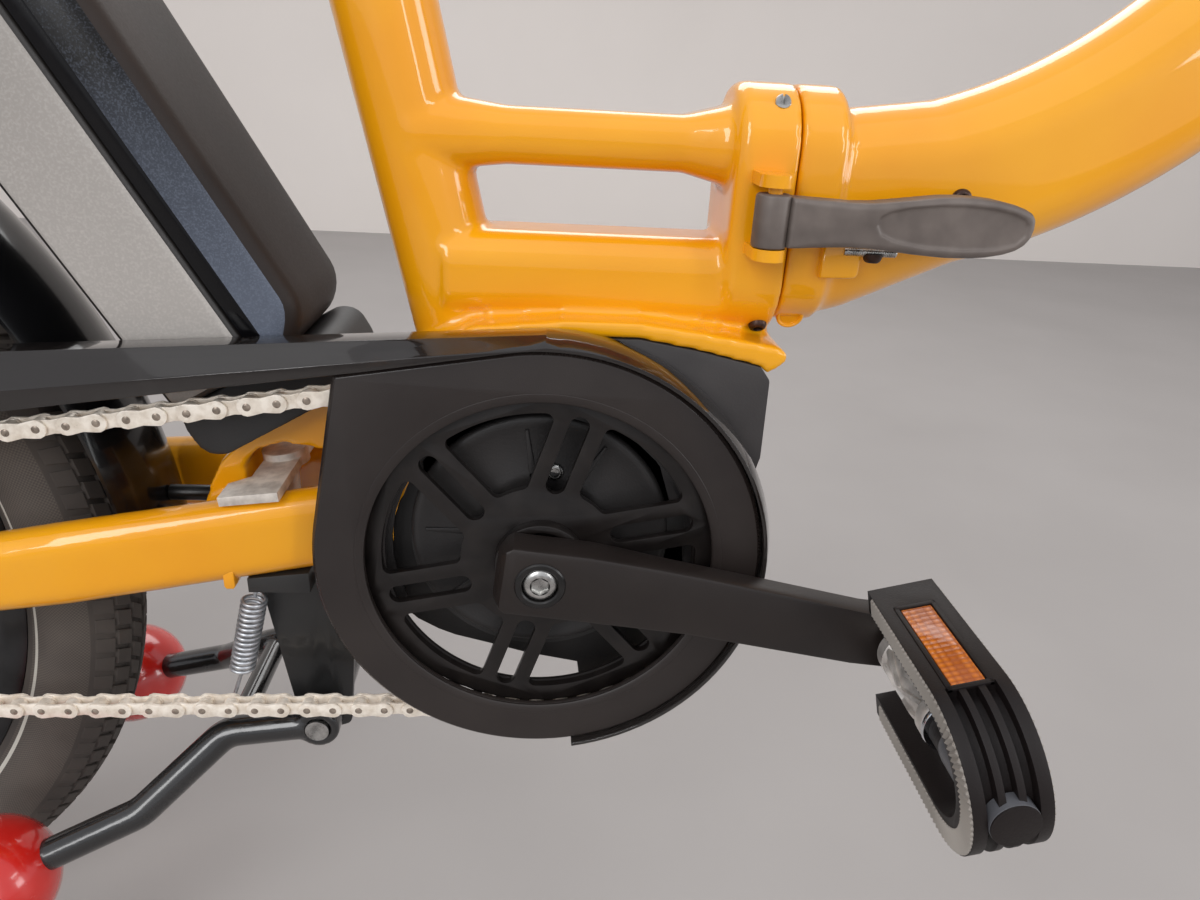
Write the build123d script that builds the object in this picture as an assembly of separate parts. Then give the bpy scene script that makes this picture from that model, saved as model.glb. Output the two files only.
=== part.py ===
from build123d import *
from math import acos, asin, atan2, cos, degrees, hypot, pi, radians, sin, sqrt, tan
import os

# Folding electric bicycle, middle and rear section: folding frame, motor, crankset,
# chain drive with its guard, battery, rear wheel, mudguard and double-leg stand.
# Millimetres. +X is forward, +Y is the rider's left, +Z is up. Every shape is drawn from
# the crank axle's centre, and moved at the end so that the mouth of the seat tube is the origin.

# Seat tube
seat_lean = 12.5            # degrees back from upright
seat_foot_x = -18.5         # where its axis crosses the height of the crank axle
seat_tube_top = 400.0       # along its axis from that crossing to its mouth
seat_tube_bottom = 92.0
seat_tube_radius = 22.0
seat_bore_radius = 17.45    # for a 34.9 mm seat post
seat_bore_depth = 180.0
seat_clamp_height = 22.0
seat_clamp_wall = 5.0

# Folding joint of the frame
fold_x = 105.0              # plane where the two plates meet
fold_gap = 0.4
fold_low_z = 101.4
front_plate_low_z = 106.5
fold_high_z = 210.0
fold_half_width = 30.0
rear_plate_thickness = 27.0
front_plate_thickness = 22.0
fold_pin_y = 40.0
fold_pin_radius = 4.0
knuckle_radius = 9.0
knuckle_clearance = 0.4
plate_edge_bevel = 3.5

# Tubes between the seat tube and the folding joint
upper_bridge_z = 183.0
upper_bridge_height = 24.0
upper_bridge_width = 36.0
upper_bridge_flare = 10.0
bridge_flare_reach = 40.0      # from the seat tube's axis; half of it at the fold plate
lower_bridge_top_z = 144.0
lower_bridge_bottom_z = 104.5
lower_bridge_width = 50.0
lower_bridge_round = 14.0

# Main tube and head tube
main_tube_height = 74.0
main_tube_width = 50.0
main_tube_round = 24.5
main_start_z = 156.0
main_start_angle = 16.0
main_end_angle = 43.0
main_bend_radius = 260.0
main_root_height = 90.0        # where the tube meets the fold plate
main_root_length = 54.0        # over which it tapers to its own height
head_axis_x = 452.0
head_axis_z = 386.0
head_lean = 18.0
head_tube_length = 170.0
head_tube_radius = 26.0
head_bore_radius = 22.0
head_bore_depth = 30.0

# Chain drive: 12.7 mm pitch
chain_pitch = 12.7
ring_teeth = 44
sprocket_teeth = 28
chain_links = 110
chain_y = -50.0
chain_line_lean = 4.24      # degrees that the rear axle lies below the crank axle's height
roller_radius = 3.9
tooth_height = 3.4
ring_thickness = 1.8
tooth_slot = 2.7
inner_plate_half_height = 3.9
inner_plate_outside = 3.1
outer_plate_half_height = 4.3
outer_plate_thickness = 1.2

# Chain ring spider
ring_band_inner = 72.0
spider_thickness = 4.0
spider_hub_radius = 21.0
spider_hub_hole = 17.0
spider_collar_height = 6.0
spider_window_inner = 37.0
spider_window_outer = 73.0
spider_window_round = 3.5
arm_pairs = 6
arm_pair_angle = 11.5          # degrees above forward of the first pair
arm_pair_offset = 6.5          # each pair's centre line passes the axle at this distance
arm_width = 7.0
arm_slot_width = 9.0
arm_slot_inner = 34.0
arm_slot_outer = 73.0

# Guard
guard_inner_radius = 80.0
guard_outer_radius = 103.0
guard_face_y = -61.3
guard_thickness = 4.0
guard_bevel = 2.0
guard_carrier_radius = 61.0
guard_carrier_z = 5.0
guard_arm_angles = (75.0, 12.0)
guard_arm_width = 16.0
guard_point_x = -88.0
guard_point_z = 90.0
cover_radius = 108.0
cover_wall = 2.0
cover_outer_y = -64.0
cover_inner_y = -43.0
cover_rim_radius = 105.0
cover_shoulder_y = -55.0
cover_lean = 3.8
cover_edge_lean = 6.6
cover_low_lean = 8.4
cover_reach = 300.0
cover_end_angle = -80.0
cover_skirt = 8.0

# Cranks
crank_length = 164.0
crank_angle = -6.8
crank_boss_half = 17.0
crank_back = 20.0
crank_back_half = 12.0
crank_corner = 5.0
crank_thickness = 13.0
crank_boss_y = -65.0
crank_tip_y = -78.5
crank_tip_radius = 14.0
spindle_radius = 11.0
cap_radius = 11.5
pedal_thread_radius = 7.0

# Pedals
pedal_inner_gap = 3.0
pedal_length = 98.0
pedal_half_height = 34.0
pedal_thickness = 28.0
pedal_rail = 11.0
pedal_barrel_radius = 13.0
pedal_barrel_length = 50.0
pedal_tilt = 14.0
pedal_rib_depth = 5.0
reflector_length = 48.0
reflector_width = 13.0
reflector_depth = 2.0
pedal_knob_radius = 9.0
pedal_knob_proud = 1.5

# Rear wheel
rim_outer_radius = 206.0
tyre_height = 51.0
tyre_width = 54.0
tyre_tread_half = 16.0
tyre_shoulder_drop = 13.0
tyre_bulge_height = 22.0
rim_width = 32.0
rim_lip = 3.0
rim_well_depth = 7.0
rim_side_depth = 11.0
rim_depth = 22.0
rim_floor_half = 8.0
hub_radius = 47.0
hub_width = 96.0
hub_flange_radius = 56.0
hub_flange_thickness = 4.0
hub_neck_radius = 24.0
hub_side_step = 12.0
hub_end_gap = 4.0
axle_radius = 5.0
spoke_count = 36
spoke_radius = 1.3
spoke_faces = 6
spoke_cross = 24.0             # degrees that a spoke leans along the hub's flange
spoke_nipple_gap = 0.8
dropout_spacing = 135.0
dropout_thickness = 6.0
axle_nut_radius = 9.0
axle_nut_height = 8.0

# Chainstays
stay_front_x = -66.3
stay_height = 40.0
stay_width = 21.0
stay_front_y = 29.0
stay_mid_x = -215.0
stay_mid_y = 50.0
stay_mid_z = -8.0
stay_front_z = 9.5
stay_rear_height = 26.0
stay_rear_width = 16.0
stay_rear_y = 64.0
stay_bridge_x = -152.0
stay_bridge_z = 4.0
stay_bridge_radius = 9.0
tray_foot_radius = 13.0
tray_half_width = 18.0

# Mudguard
mudguard_radius = 282.0
mudguard_half_width = 32.0
mudguard_wall = 2.0
mudguard_crown = 10.0
mudguard_front_angle = 4.0
mudguard_rear_angle = 195.0
stay_rod_radius = 2.2
stay_rod_foot = 13.5           # from the axle's centre to the stay's lower end
stay_rod_lift = 1.3            # keeps the sloping stay off the dropout's edge
mudguard_bolt_radius = 4.0

# Battery and its dock
battery_lean = 30.0
battery_depth = 76.0
battery_width = 82.0
battery_length = 335.0
battery_low_rear_x = -162.2
battery_low_rear_z = 62.5
battery_case_depth = 46.0
battery_band_depth = 7.5
battery_front_flat = 71.0
battery_front_round = 9.0
battery_joint_gap = 0.2
dock_rear_across = -4.0
dock_depth = 74.0
dock_width = 70.0
dock_height = 28.0
dock_round = 11.0

# Motor
motor_half_width = 40.0
cradle_width = 80.0
cradle_top_z = 110.0
cradle_lip_x = 109.0
cradle_rear_x = -66.0
cradle_low_z = -14.0
motor_corner_round = 4.0
seat_gap = 0.3

# Double-leg stand, folded up as it rides
stand_pivot_x = -113.0
stand_pivot_z = -110.0
stand_plate_half_width = 44.0
stand_clamp_x = -132.5
stand_clamp_width = 27.0
stand_clamp_half_length = 47.0
stand_clamp_thickness = 4.5
stand_clamp_bolt_x = -128.0
stand_clamp_boss_radius = 11.0
stand_clamp_boss_height = 8.0
stand_bolt_radius = 5.0
stand_plate_thickness = 8.0
stand_cheek_y = 30.0
stand_cheek_thickness = 4.0
stand_axle_radius = 6.0
stand_axle_half = 46.0
stand_sleeve_radius = 11.0
stand_leg_radius = 8.0
stand_reach = 168.0
stand_rest_angle = 22.0
stand_foot_radius = 32.0
stand_foot_steps = 10
stand_foot_y = 82.0
stand_spring_radius = 7.0
stand_spring_y = 38.0
stand_wire_radius = 1.2
stand_hook_length = 4.0

# Worked out from the sizes above
ring_radius = chain_pitch / (2 * sin(pi / ring_teeth))
sprocket_radius = chain_pitch / (2 * sin(pi / sprocket_teeth))


def chain_straight():
    """Length of each straight run, so that the loop closes on whole links."""
    run = 300.0
    for step in range(20):
        spread = asin((ring_radius - sprocket_radius) / hypot(run, ring_radius - sprocket_radius))
        wrapped = ring_teeth * (0.5 + spread / pi) + sprocket_teeth * (0.5 - spread / pi)
        run = (chain_links - wrapped) * chain_pitch / 2
    return run, spread


straight_run, chain_spread = chain_straight()
stay_length = hypot(straight_run, ring_radius - sprocket_radius)
rear_axle_x = -stay_length * cos(radians(chain_line_lean))
rear_axle_z = -stay_length * sin(radians(chain_line_lean))
seat_direction = (-sin(radians(seat_lean)), cos(radians(seat_lean)))
seat_mouth = Vector(seat_foot_x + seat_tube_top * seat_direction[0], 0, seat_tube_top * seat_direction[1])
pedal_x = crank_length * cos(radians(crank_angle))
pedal_z = crank_length * sin(radians(crank_angle))
pedal_y = crank_tip_y - crank_thickness - pedal_inner_gap

os.makedirs("parts", exist_ok=True)


def write(name, shape):
    """Write one piece, moved so that the mouth of the seat tube is the origin."""
    moved = shape.moved(Location((-seat_mouth.X, -seat_mouth.Y, -seat_mouth.Z)))
    moved.label = name
    export_step(moved, "parts/" + name + ".step")


def side_plane(y):
    """Drawing plane seen from the right side, at depth y: its x is forward and its y is up."""
    return Plane(origin=(0, y, 0), x_dir=(1, 0, 0), z_dir=(0, -1, 0))


def slab(profile, y_low, y_high):
    """A side profile given thickness from y_low to y_high."""
    return extrude(side_plane(y_high) * profile, amount=y_high - y_low)


def round_outline(points, radius):
    """A closed polygon with every corner rounded."""
    face = make_face(Polyline(*points, close=True))
    return fillet(face.vertices(), radius)


def rod(start, end, radius, bore=0.0):
    """A straight round bar or tube between two points."""
    start = Vector(*start)
    end = Vector(*end)
    plane = Plane(origin=start, z_dir=end - start)
    ring = Circle(radius)
    if bore > 0:
        ring = ring - Circle(bore)
    return extrude(plane * ring, amount=(end - start).length)


def disc(x, z, radius, y_low, y_high, bore=0.0):
    """A round piece across the bicycle, centred on (x, z)."""
    return rod((x, y_low, z), (x, y_high, z), radius, bore)


def seat_point(distance, offset=0.0, y=0.0):
    """A point on the seat tube, offset forward of its axis."""
    x = seat_foot_x + distance * seat_direction[0] + offset * seat_direction[1]
    z = distance * seat_direction[1] - offset * seat_direction[0]
    return (x, y, z)


# Rear half of the frame

def seat_tube():
    tube = rod(seat_point(seat_tube_bottom), seat_point(seat_tube_top), seat_tube_radius)
    bore = rod(seat_point(seat_tube_top - seat_bore_depth), seat_point(seat_tube_top + 1), seat_bore_radius)
    return tube - bore


def seat_clamp():
    outer = seat_tube_radius + seat_clamp_wall
    low = seat_tube_top - seat_clamp_height
    collar = rod(seat_point(low), seat_point(seat_tube_top), outer, seat_tube_radius)
    ear = Pos(*seat_point(low + seat_clamp_height / 2, -outer - 3)) * Rot(0, -seat_lean, 0)
    collar += ear * Box(16, 16, seat_clamp_height - 2)
    slit = Pos(*seat_point(low + seat_clamp_height / 2, -outer - 2)) * Rot(0, -seat_lean, 0)
    collar -= slit * Box(2 * seat_clamp_wall + 14, 2.5, seat_clamp_height + 2)
    collar -= rod(seat_point(low - 1), seat_point(seat_tube_top + 1), seat_tube_radius)
    return collar


def bridge_axis_x(z):
    """Where the seat tube's axis crosses a height."""
    return seat_foot_x + z / seat_direction[1] * seat_direction[0]


def upper_bridge():
    """Oval tube that flares where it meets the seat tube and the rear fold plate."""
    rear_x = bridge_axis_x(upper_bridge_z)
    front_x = fold_x - rear_plate_thickness
    station_table = [
        # x, growth of the section
        (rear_x, upper_bridge_flare),
        (rear_x + bridge_flare_reach, 0.0),
        (front_x - bridge_flare_reach / 2, 0.0),
        (front_x, upper_bridge_flare),
    ]
    sections = []
    for x, growth in station_table:
        plane = Plane(origin=(x, 0, upper_bridge_z), x_dir=(0, 1, 0), z_dir=(1, 0, 0))
        height = upper_bridge_height + growth
        sections.append(plane * RectangleRounded(upper_bridge_width + growth, height, height * 0.45))
    tube = loft(sections, ruled=True)
    return tube - rod(seat_point(seat_tube_bottom), seat_point(seat_tube_top), seat_tube_radius)


def lower_bridge():
    """Deep tube that rests on the motor bracket."""
    middle = (lower_bridge_top_z + lower_bridge_bottom_z) / 2
    height = lower_bridge_top_z - lower_bridge_bottom_z
    rear_x = bridge_axis_x(middle)
    front_x = fold_x - rear_plate_thickness
    plane = Plane(origin=(rear_x, 0, middle), x_dir=(0, 1, 0), z_dir=(1, 0, 0))
    tube = extrude(plane * RectangleRounded(lower_bridge_width, height, lower_bridge_round), amount=front_x - rear_x)
    tube -= rod(seat_point(seat_tube_bottom), seat_point(seat_tube_top), seat_tube_radius)
    return tube - motor_cradle()


def fold_plate(x_low, x_high, low_z):
    """One half of the folding joint: an upright oval plate with rounded outer edges."""
    middle = (low_z + fold_high_z) / 2
    plane = Plane(origin=(x_low, 0, middle), x_dir=(0, 1, 0), z_dir=(1, 0, 0))
    outline = RectangleRounded(2 * fold_half_width, fold_high_z - low_z, fold_half_width - 2)
    return extrude(plane * outline, amount=x_high - x_low)


def knuckle(z_low, z_high, x_side):
    """Part of the fold's barrel, with the web that joins it to its own plate."""
    barrel = rod((fold_x, fold_pin_y, z_low), (fold_x, fold_pin_y, z_high), knuckle_radius)
    web_depth = 14.0
    x_middle = fold_x + x_side * (web_depth / 2 + fold_gap / 2)
    web_width = fold_pin_y - fold_half_width + 10
    web = Pos(x_middle, fold_pin_y - web_width / 2, (z_low + z_high) / 2)
    piece = barrel + web * Box(web_depth, web_width, z_high - z_low)
    return piece - rod((fold_x, fold_pin_y, z_low - 1), (fold_x, fold_pin_y, z_high + 1), fold_pin_radius + 0.1)


# name of the stretch, low end and high end above the lower edge of the fold plates
knuckle_table = {"low": (24.0, 42.0), "middle": (42.4, 76.6), "high": (77.0, 95.0)}


def hinge_plate_rear():
    plate = fold_plate(fold_x - rear_plate_thickness, fold_x - fold_gap / 2, fold_low_z)
    rear_edges = plate.faces().sort_by(Axis.X)[0].edges()
    plate = chamfer(rear_edges, plate_edge_bevel)
    low, high = knuckle_table["middle"]
    room = rod((fold_x, fold_pin_y, fold_low_z + low - knuckle_clearance),
               (fold_x, fold_pin_y, fold_low_z + high + knuckle_clearance), knuckle_radius + 1)
    plate -= room
    for stretch in ("low", "high"):
        low, high = knuckle_table[stretch]
        plate += knuckle(fold_low_z + low, fold_low_z + high, -1)
    return plate - motor_cradle()


def hinge_plate_front():
    plate = fold_plate(fold_x + fold_gap / 2, fold_x + front_plate_thickness, front_plate_low_z)
    front_edges = plate.faces().sort_by(Axis.X)[-1].edges()
    plate = chamfer(front_edges, plate_edge_bevel)
    for stretch in ("low", "high"):
        low, high = knuckle_table[stretch]
        plate -= rod((fold_x, fold_pin_y, fold_low_z + low - knuckle_clearance),
                     (fold_x, fold_pin_y, fold_low_z + high + knuckle_clearance), knuckle_radius + 1)
    low, high = knuckle_table["middle"]
    return plate + knuckle(fold_low_z + low, fold_low_z + high, 1)


def hinge_pin():
    low = fold_low_z + knuckle_table["low"][0] - 4
    high = fold_low_z + knuckle_table["high"][1] + 4
    return rod((fold_x, fold_pin_y, low), (fold_x, fold_pin_y, high), fold_pin_radius)


def motor_cradle():
    """The bracket over and behind the motor, which carries the seat tube and the lower bridge."""
    outline = make_face(Polyline(
        (cradle_rear_x, cradle_low_z), (cradle_rear_x, 64), (-57, 94), (-32, 106), (8, cradle_top_z),
        (41, cradle_top_z), (70, 106.5), (fold_x, 101), (cradle_lip_x, 97.5), (cradle_lip_x - 1, 94.5),
        (60, 60), (0, 0), (-40, cradle_low_z), close=True))
    cradle = slab(outline, -cradle_width / 2, cradle_width / 2)
    cradle -= slab(motor_face(seat_gap), -cradle_width, cradle_width)
    cradle -= rod(seat_point(seat_tube_bottom), seat_point(seat_tube_top), seat_tube_radius)
    return cradle.solids().sort_by(SortBy.VOLUME)[-1]


def battery_tray():
    """Arched yoke from the motor bracket back to the stays, under the battery dock."""
    dock_rear = battery_point(dock_rear_across + dock_round, -dock_height - seat_gap)
    dock_front = battery_point(dock_depth, -dock_height - seat_gap)
    foot_top_z = stay_bridge_z + stay_bridge_radius + 2
    profile = make_face(Polyline(
        (cradle_rear_x - seat_gap, 64), (cradle_rear_x - seat_gap, 34), (-100, 36), (-124, 40),
        (-137, 36), (-143, 28), (-142, foot_top_z), (-162, foot_top_z), (-154, 30), dock_rear, dock_front,
        close=True))
    yoke = slab(profile, -tray_half_width, tray_half_width)
    foot = disc(stay_bridge_x, stay_bridge_z, tray_foot_radius, -tray_half_width, tray_half_width)
    yoke += foot
    return yoke - disc(stay_bridge_x, stay_bridge_z, stay_bridge_radius, -60, 60)


def chainstay(side):
    """Oval stay from the motor bracket to the dropout; side is -1 for right, 1 for left."""
    rear_x = rear_axle_x + 28
    rear_z = rear_axle_z - 4
    station_table = [
        # x, y, z, height, width
        (stay_front_x, stay_front_y, stay_front_z, stay_height, stay_width),
        (stay_mid_x, stay_mid_y, stay_mid_z, stay_height, stay_width),
        (rear_x, stay_rear_y, rear_z, stay_rear_height, stay_rear_width),
    ]
    sections = []
    for x, y, z, height, width in station_table:
        plane = Plane(origin=(x, side * y, z), x_dir=(0, 1, 0), z_dir=(1, 0, 0))
        sections.append(plane * RectangleRounded(width, height, width * 0.48))
    return loft(sections, ruled=True)


def stay_under(x):
    """Height of a stay's underside between its front and middle stations."""
    share = (stay_front_x - x) / (stay_front_x - stay_mid_x)
    return stay_front_z + share * (stay_mid_z - stay_front_z) - stay_height / 2


def chainstay_right():
    return chainstay(-1)


def chainstay_left():
    return chainstay(1)


def stay_bridge():
    """Cross tube between the stays, ahead of the tyre."""
    tube = disc(stay_bridge_x, stay_bridge_z, stay_bridge_radius, -stay_front_y - 8, stay_front_y + 8)
    return tube - chainstay(-1) - chainstay(1)


def dropout(side):
    inner = dropout_spacing / 2
    front_x = rear_axle_x + 28
    plate = round_outline([
        (front_x - 0.2, rear_axle_z + 8), (rear_axle_x + 6, rear_axle_z + 18), (rear_axle_x - 16, rear_axle_z + 14),
        (rear_axle_x - 18, rear_axle_z - 12), (rear_axle_x + 4, rear_axle_z - 20),
        (front_x - 0.2, rear_axle_z - 16)], 3)
    y_low = min(side * inner, side * (inner + dropout_thickness))
    y_high = max(side * inner, side * (inner + dropout_thickness))
    body = slab(plate, y_low, y_high)
    return body - disc(rear_axle_x, rear_axle_z, axle_radius + 0.1, y_low - 1, y_high + 1)


# Front half of the frame

def main_tube_path():
    """Centre line of the main tube: a short straight, one arc, then straight to the head tube."""
    start = Vector(fold_x + front_plate_thickness, 0, main_start_z)
    angle_in = radians(main_start_angle)
    angle_out = radians(main_end_angle)
    direction_in = Vector(cos(angle_in), 0, sin(angle_in))
    direction_out = Vector(cos(angle_out), 0, sin(angle_out))
    target = Vector(head_axis_x, 0, head_axis_z)
    # the two straight lines meet at the corner; the arc is tangent to both
    run = target - start
    cross = direction_in.X * direction_out.Z - direction_in.Z * direction_out.X
    along = (run.X * direction_out.Z - run.Z * direction_out.X) / cross
    corner = start + direction_in * along
    return start, corner, target


def main_tube():
    """Deep root at the fold plate, then an oval tube that curves up to the head tube."""
    start, corner, target = main_tube_path()
    path = FilletPolyline(start, corner, target, radius=main_bend_radius)
    direction = path % 0
    root_end = start + direction * main_root_length
    outline = RectangleRounded(main_tube_width, main_tube_height, main_tube_round)
    root_outline = RectangleRounded(main_tube_width, main_root_height, main_tube_round)
    low = Plane(origin=start - direction * main_root_height, x_dir=(0, 1, 0), z_dir=direction)
    middle = Plane(origin=start, x_dir=(0, 1, 0), z_dir=direction)
    high = Plane(origin=root_end, x_dir=(0, 1, 0), z_dir=direction)
    root = loft([low * root_outline, middle * root_outline, high * outline], ruled=True)
    tube = root + sweep(middle * outline, path=path)
    plate_face = fold_x + front_plate_thickness
    front = Pos(plate_face - main_root_height, 0, main_start_z) * Box(2 * main_root_height, 200, 300)
    pieces = (tube - head_cylinder(head_tube_radius, head_tube_length) - front).solids().sort_by(SortBy.VOLUME)
    return pieces[-1]


def head_cylinder(radius, length):
    lean = radians(head_lean)
    half = Vector(-sin(lean), 0, cos(lean)) * (length / 2)
    middle = Vector(head_axis_x, 0, head_axis_z)
    return rod(tuple(middle - half), tuple(middle + half), radius)


def head_tube():
    lean = radians(head_lean)
    up = Vector(-sin(lean), 0, cos(lean))
    middle = Vector(head_axis_x, 0, head_axis_z)
    low = middle - up * (head_tube_length / 2)
    high = middle + up * (head_tube_length / 2)
    tube = rod(tuple(low), tuple(high), head_tube_radius)
    tube -= rod(tuple(low - up), tuple(high + up), head_bore_radius - 3)
    tube -= rod(tuple(low - up), tuple(low + up * head_bore_depth), head_bore_radius)
    tube -= rod(tuple(high - up * head_bore_depth), tuple(high + up), head_bore_radius)
    return tube


# Lever of the folding joint

lever_pivot_x = 92.0
lever_pivot_y = -44.0
lever_z = 158.0
lever_length = 110.0
lever_height = 24.0
lever_thickness = 13.0
lever_corner = 5.0
lever_bevel = 2.0
lever_eye_radius = 7.0
lever_pin_radius = 3.0
lug_thickness = 5.0


def hinge_lever():
    """Forged lever that lies along the right side of the main tube."""
    y_out = lever_pivot_y - lever_thickness / 2
    half = lever_height / 2
    tip_x = lever_pivot_x + lever_length
    waist_x = lever_pivot_x + 40
    palm_x = lever_pivot_x + 74
    profile = round_outline([
        (lever_pivot_x, lever_z - half), (lever_pivot_x, lever_z + half), (waist_x, lever_z + half - 2.5),
        (palm_x, lever_z + half + 2), (tip_x - 7, lever_z + half - 4), (tip_x, lever_z + 2),
        (tip_x - 7, lever_z - half + 4), (palm_x, lever_z - half - 1), (waist_x, lever_z - half + 1)],
        lever_corner)
    blade = slab(profile, y_out, y_out + lever_thickness)
    blade = chamfer(blade.faces().sort_by(Axis.Y)[0].edges(), lever_bevel)
    recess = slab(Pos(palm_x, lever_z) * Ellipse(30, 9), y_out - 1, y_out + 1.5)
    low = (lever_pivot_x, lever_pivot_y, lever_z - half)
    high = (lever_pivot_x, lever_pivot_y, lever_z + half)
    lever = blade - recess + rod(low, high, lever_eye_radius)
    return lever - rod((low[0], low[1], low[2] - 2), (high[0], high[1], high[2] + 2), lever_pin_radius + 0.2)


def lever_lug():
    """Fork on the rear fold plate, with the pin that the lever turns on."""
    half = lever_height / 2
    fork = []
    for z_low in (lever_z - half - lug_thickness - seat_gap, lever_z + half + seat_gap):
        ear = extrude(Plane.XY.offset(z_low) * Pos(lever_pivot_x, lever_pivot_y) * Circle(lever_eye_radius),
                      amount=lug_thickness)
        root_y = -fold_half_width + 2
        root = Pos(lever_pivot_x, (lever_pivot_y + root_y) / 2, z_low + lug_thickness / 2)
        ear += root * Box(2 * lever_eye_radius, root_y - lever_pivot_y, lug_thickness)
        fork.append(ear)
    pin = rod((lever_pivot_x, lever_pivot_y, lever_z - half - lug_thickness),
              (lever_pivot_x, lever_pivot_y, lever_z + half + lug_thickness), lever_pin_radius)
    return (fork[0] + fork[1] + pin) - fold_plate(fold_x - rear_plate_thickness, fold_x - fold_gap / 2, fold_low_z)


# Motor

def motor_face(grow):
    """The motor in side view, with every side moved out by grow."""
    corner_table = [
        # x, z
        (-55, -16), (-55, 58), (-47, 79), (-26, 88), (10, 102.5), (41, 103),
        (68, 98.5), (97, 92), (101.5, 86), (102, 48), (92, 6), (70, -26), (36, -46), (0, -54), (-34, -44)]
    outline = make_face(Polyline(*corner_table, close=True))
    outline = fillet(outline.vertices(), motor_corner_round)
    return offset(outline, grow) if grow > 0 else outline


def motor_housing():
    body = slab(motor_face(0), -motor_half_width, motor_half_width)
    hole = disc(0, 0, spindle_radius + seat_gap, -motor_half_width - 1, motor_half_width + 1)
    return body - hole


def guard_carrier():
    """Round plate on the motor's side, with arms out to the chain guard."""
    y_low = cover_inner_y + seat_gap
    plate = disc(0, guard_carrier_z, guard_carrier_radius, y_low, -motor_half_width)
    for angle in guard_arm_angles:
        a = radians(angle)
        reach = cover_radius - cover_wall - 1
        arm = Pos(reach / 2 * cos(a), reach / 2 * sin(a)) * Rot(0, 0, angle) * Rectangle(reach, guard_arm_width)
        plate += slab(arm, y_low, -motor_half_width)
    return plate - disc(0, 0, spindle_radius + 2, y_low - 1, 0)


# Drive

def crank_spindle():
    return disc(0, 0, spindle_radius, crank_boss_y + 0.2, -crank_boss_y - 0.2)


def ring_outline():
    """Toothed edge: a rounded valley for each roller, and a short flat tip between valleys."""
    edges = []
    root = ring_radius - roller_radius
    tip = ring_radius + tooth_height
    step = 2 * pi / ring_teeth
    points = []
    for tooth in range(ring_teeth):
        angle = tooth * step
        for share, radius in ((-0.30, root), (0.0, root - 0.3), (0.30, root), (0.42, tip), (0.58, tip)):
            a = angle + share * step
            points.append((radius * cos(a), radius * sin(a)))
    return make_face(Polyline(*points, close=True))


def arm_places():
    """Place of each pair of arms: x runs outwards along the slot between the two arms."""
    turns = [arm_pair_angle + 360 / arm_pairs * pair for pair in range(arm_pairs)]
    return [Rot(0, 0, turn) * Pos(0, arm_pair_offset) for turn in turns]


def chain_ring():
    """Toothed ring, with a spider of paired arms that whirl round its lockring."""
    teeth = slab(ring_outline() - Circle(ring_band_inner), chain_y - ring_thickness / 2,
                 chain_y + ring_thickness / 2)
    y_back = chain_y - ring_thickness / 2
    y_front = y_back - spider_thickness
    windows = Circle(spider_window_outer) - Circle(spider_window_inner)
    pair_width = arm_slot_width + 2 * arm_width
    for place in arm_places():
        windows -= place * Pos(spider_window_outer / 2, 0) * Rectangle(spider_window_outer + 20, pair_width)
    windows = fillet(windows.vertices(), spider_window_round)
    slots = Sketch()
    for place in arm_places():
        middle = (arm_slot_inner + arm_slot_outer) / 2
        slots += place * Pos(middle, 0) * SlotOverall(arm_slot_outer - arm_slot_inner, arm_slot_width)
    plate = Circle(ring_radius - 8) - Circle(spindle_radius + seat_gap) - windows - slots
    return teeth + slab(plate, y_front, y_back)


def spider_lockring():
    """Round collar screwed up against the spider's outer face."""
    y_seat = chain_y - ring_thickness / 2 - spider_thickness
    return slab(Circle(spider_hub_radius) - Circle(spider_hub_hole), y_seat - spider_collar_height, y_seat)


def chain_point(share, outward=0.0):
    """Point and forward angle of the chain's centre line at a share of its links."""
    wrap_ring = ring_teeth * (0.5 + chain_spread / pi)
    wrap_sprocket = sprocket_teeth * (0.5 - chain_spread / pi)
    run = straight_run / chain_pitch
    lean = radians(chain_line_lean)
    start = pi / 2 + lean + chain_spread
    share = share % chain_links
    if share < run:
        # upper run, from the ring back to the sprocket
        angle = start
        x = ring_radius * cos(angle) + share * chain_pitch * cos(angle + pi / 2)
        z = ring_radius * sin(angle) + share * chain_pitch * sin(angle + pi / 2)
        return x, z, angle
    if share < run + wrap_sprocket:
        angle = start + (share - run) * 2 * pi / sprocket_teeth
        return (rear_axle_x + sprocket_radius * cos(angle), rear_axle_z + sprocket_radius * sin(angle), angle)
    if share < 2 * run + wrap_sprocket:
        angle = start + wrap_sprocket * 2 * pi / sprocket_teeth
        distance = (share - run - wrap_sprocket) * chain_pitch
        x = rear_axle_x + sprocket_radius * cos(angle) + distance * cos(angle + pi / 2)
        z = rear_axle_z + sprocket_radius * sin(angle) + distance * sin(angle + pi / 2)
        return x, z, angle
    angle = start - (chain_links - share) * 2 * pi / ring_teeth
    return ring_radius * cos(angle), ring_radius * sin(angle), angle


def chain_band(half_height):
    """Closed loop of the chain's centre line, given a height."""
    faces = []
    for offset in (half_height, -half_height):
        start = chain_spread + pi / 2 + radians(chain_line_lean)
        end = start + (sprocket_teeth * (0.5 - chain_spread / pi)) * 2 * pi / sprocket_teeth
        big = ring_radius + offset
        small = sprocket_radius + offset
        top_ring = (big * cos(start), big * sin(start))
        top_rear = (rear_axle_x + small * cos(start), rear_axle_z + small * sin(start))
        low_rear = (rear_axle_x + small * cos(end), rear_axle_z + small * sin(end))
        low_ring = (big * cos(end), big * sin(end))
        middle = (start + end) / 2
        far_rear = (rear_axle_x + small * cos(middle), rear_axle_z + small * sin(middle))
        far_ring = (-big * cos(middle), -big * sin(middle))
        outline = [Line(top_ring, top_rear), ThreePointArc(top_rear, far_rear, low_rear),
                   Line(low_rear, low_ring), ThreePointArc(low_ring, far_ring, top_ring)]
        faces.append(make_face(Wire(outline)))
    return faces[0] - faces[1]


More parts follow.
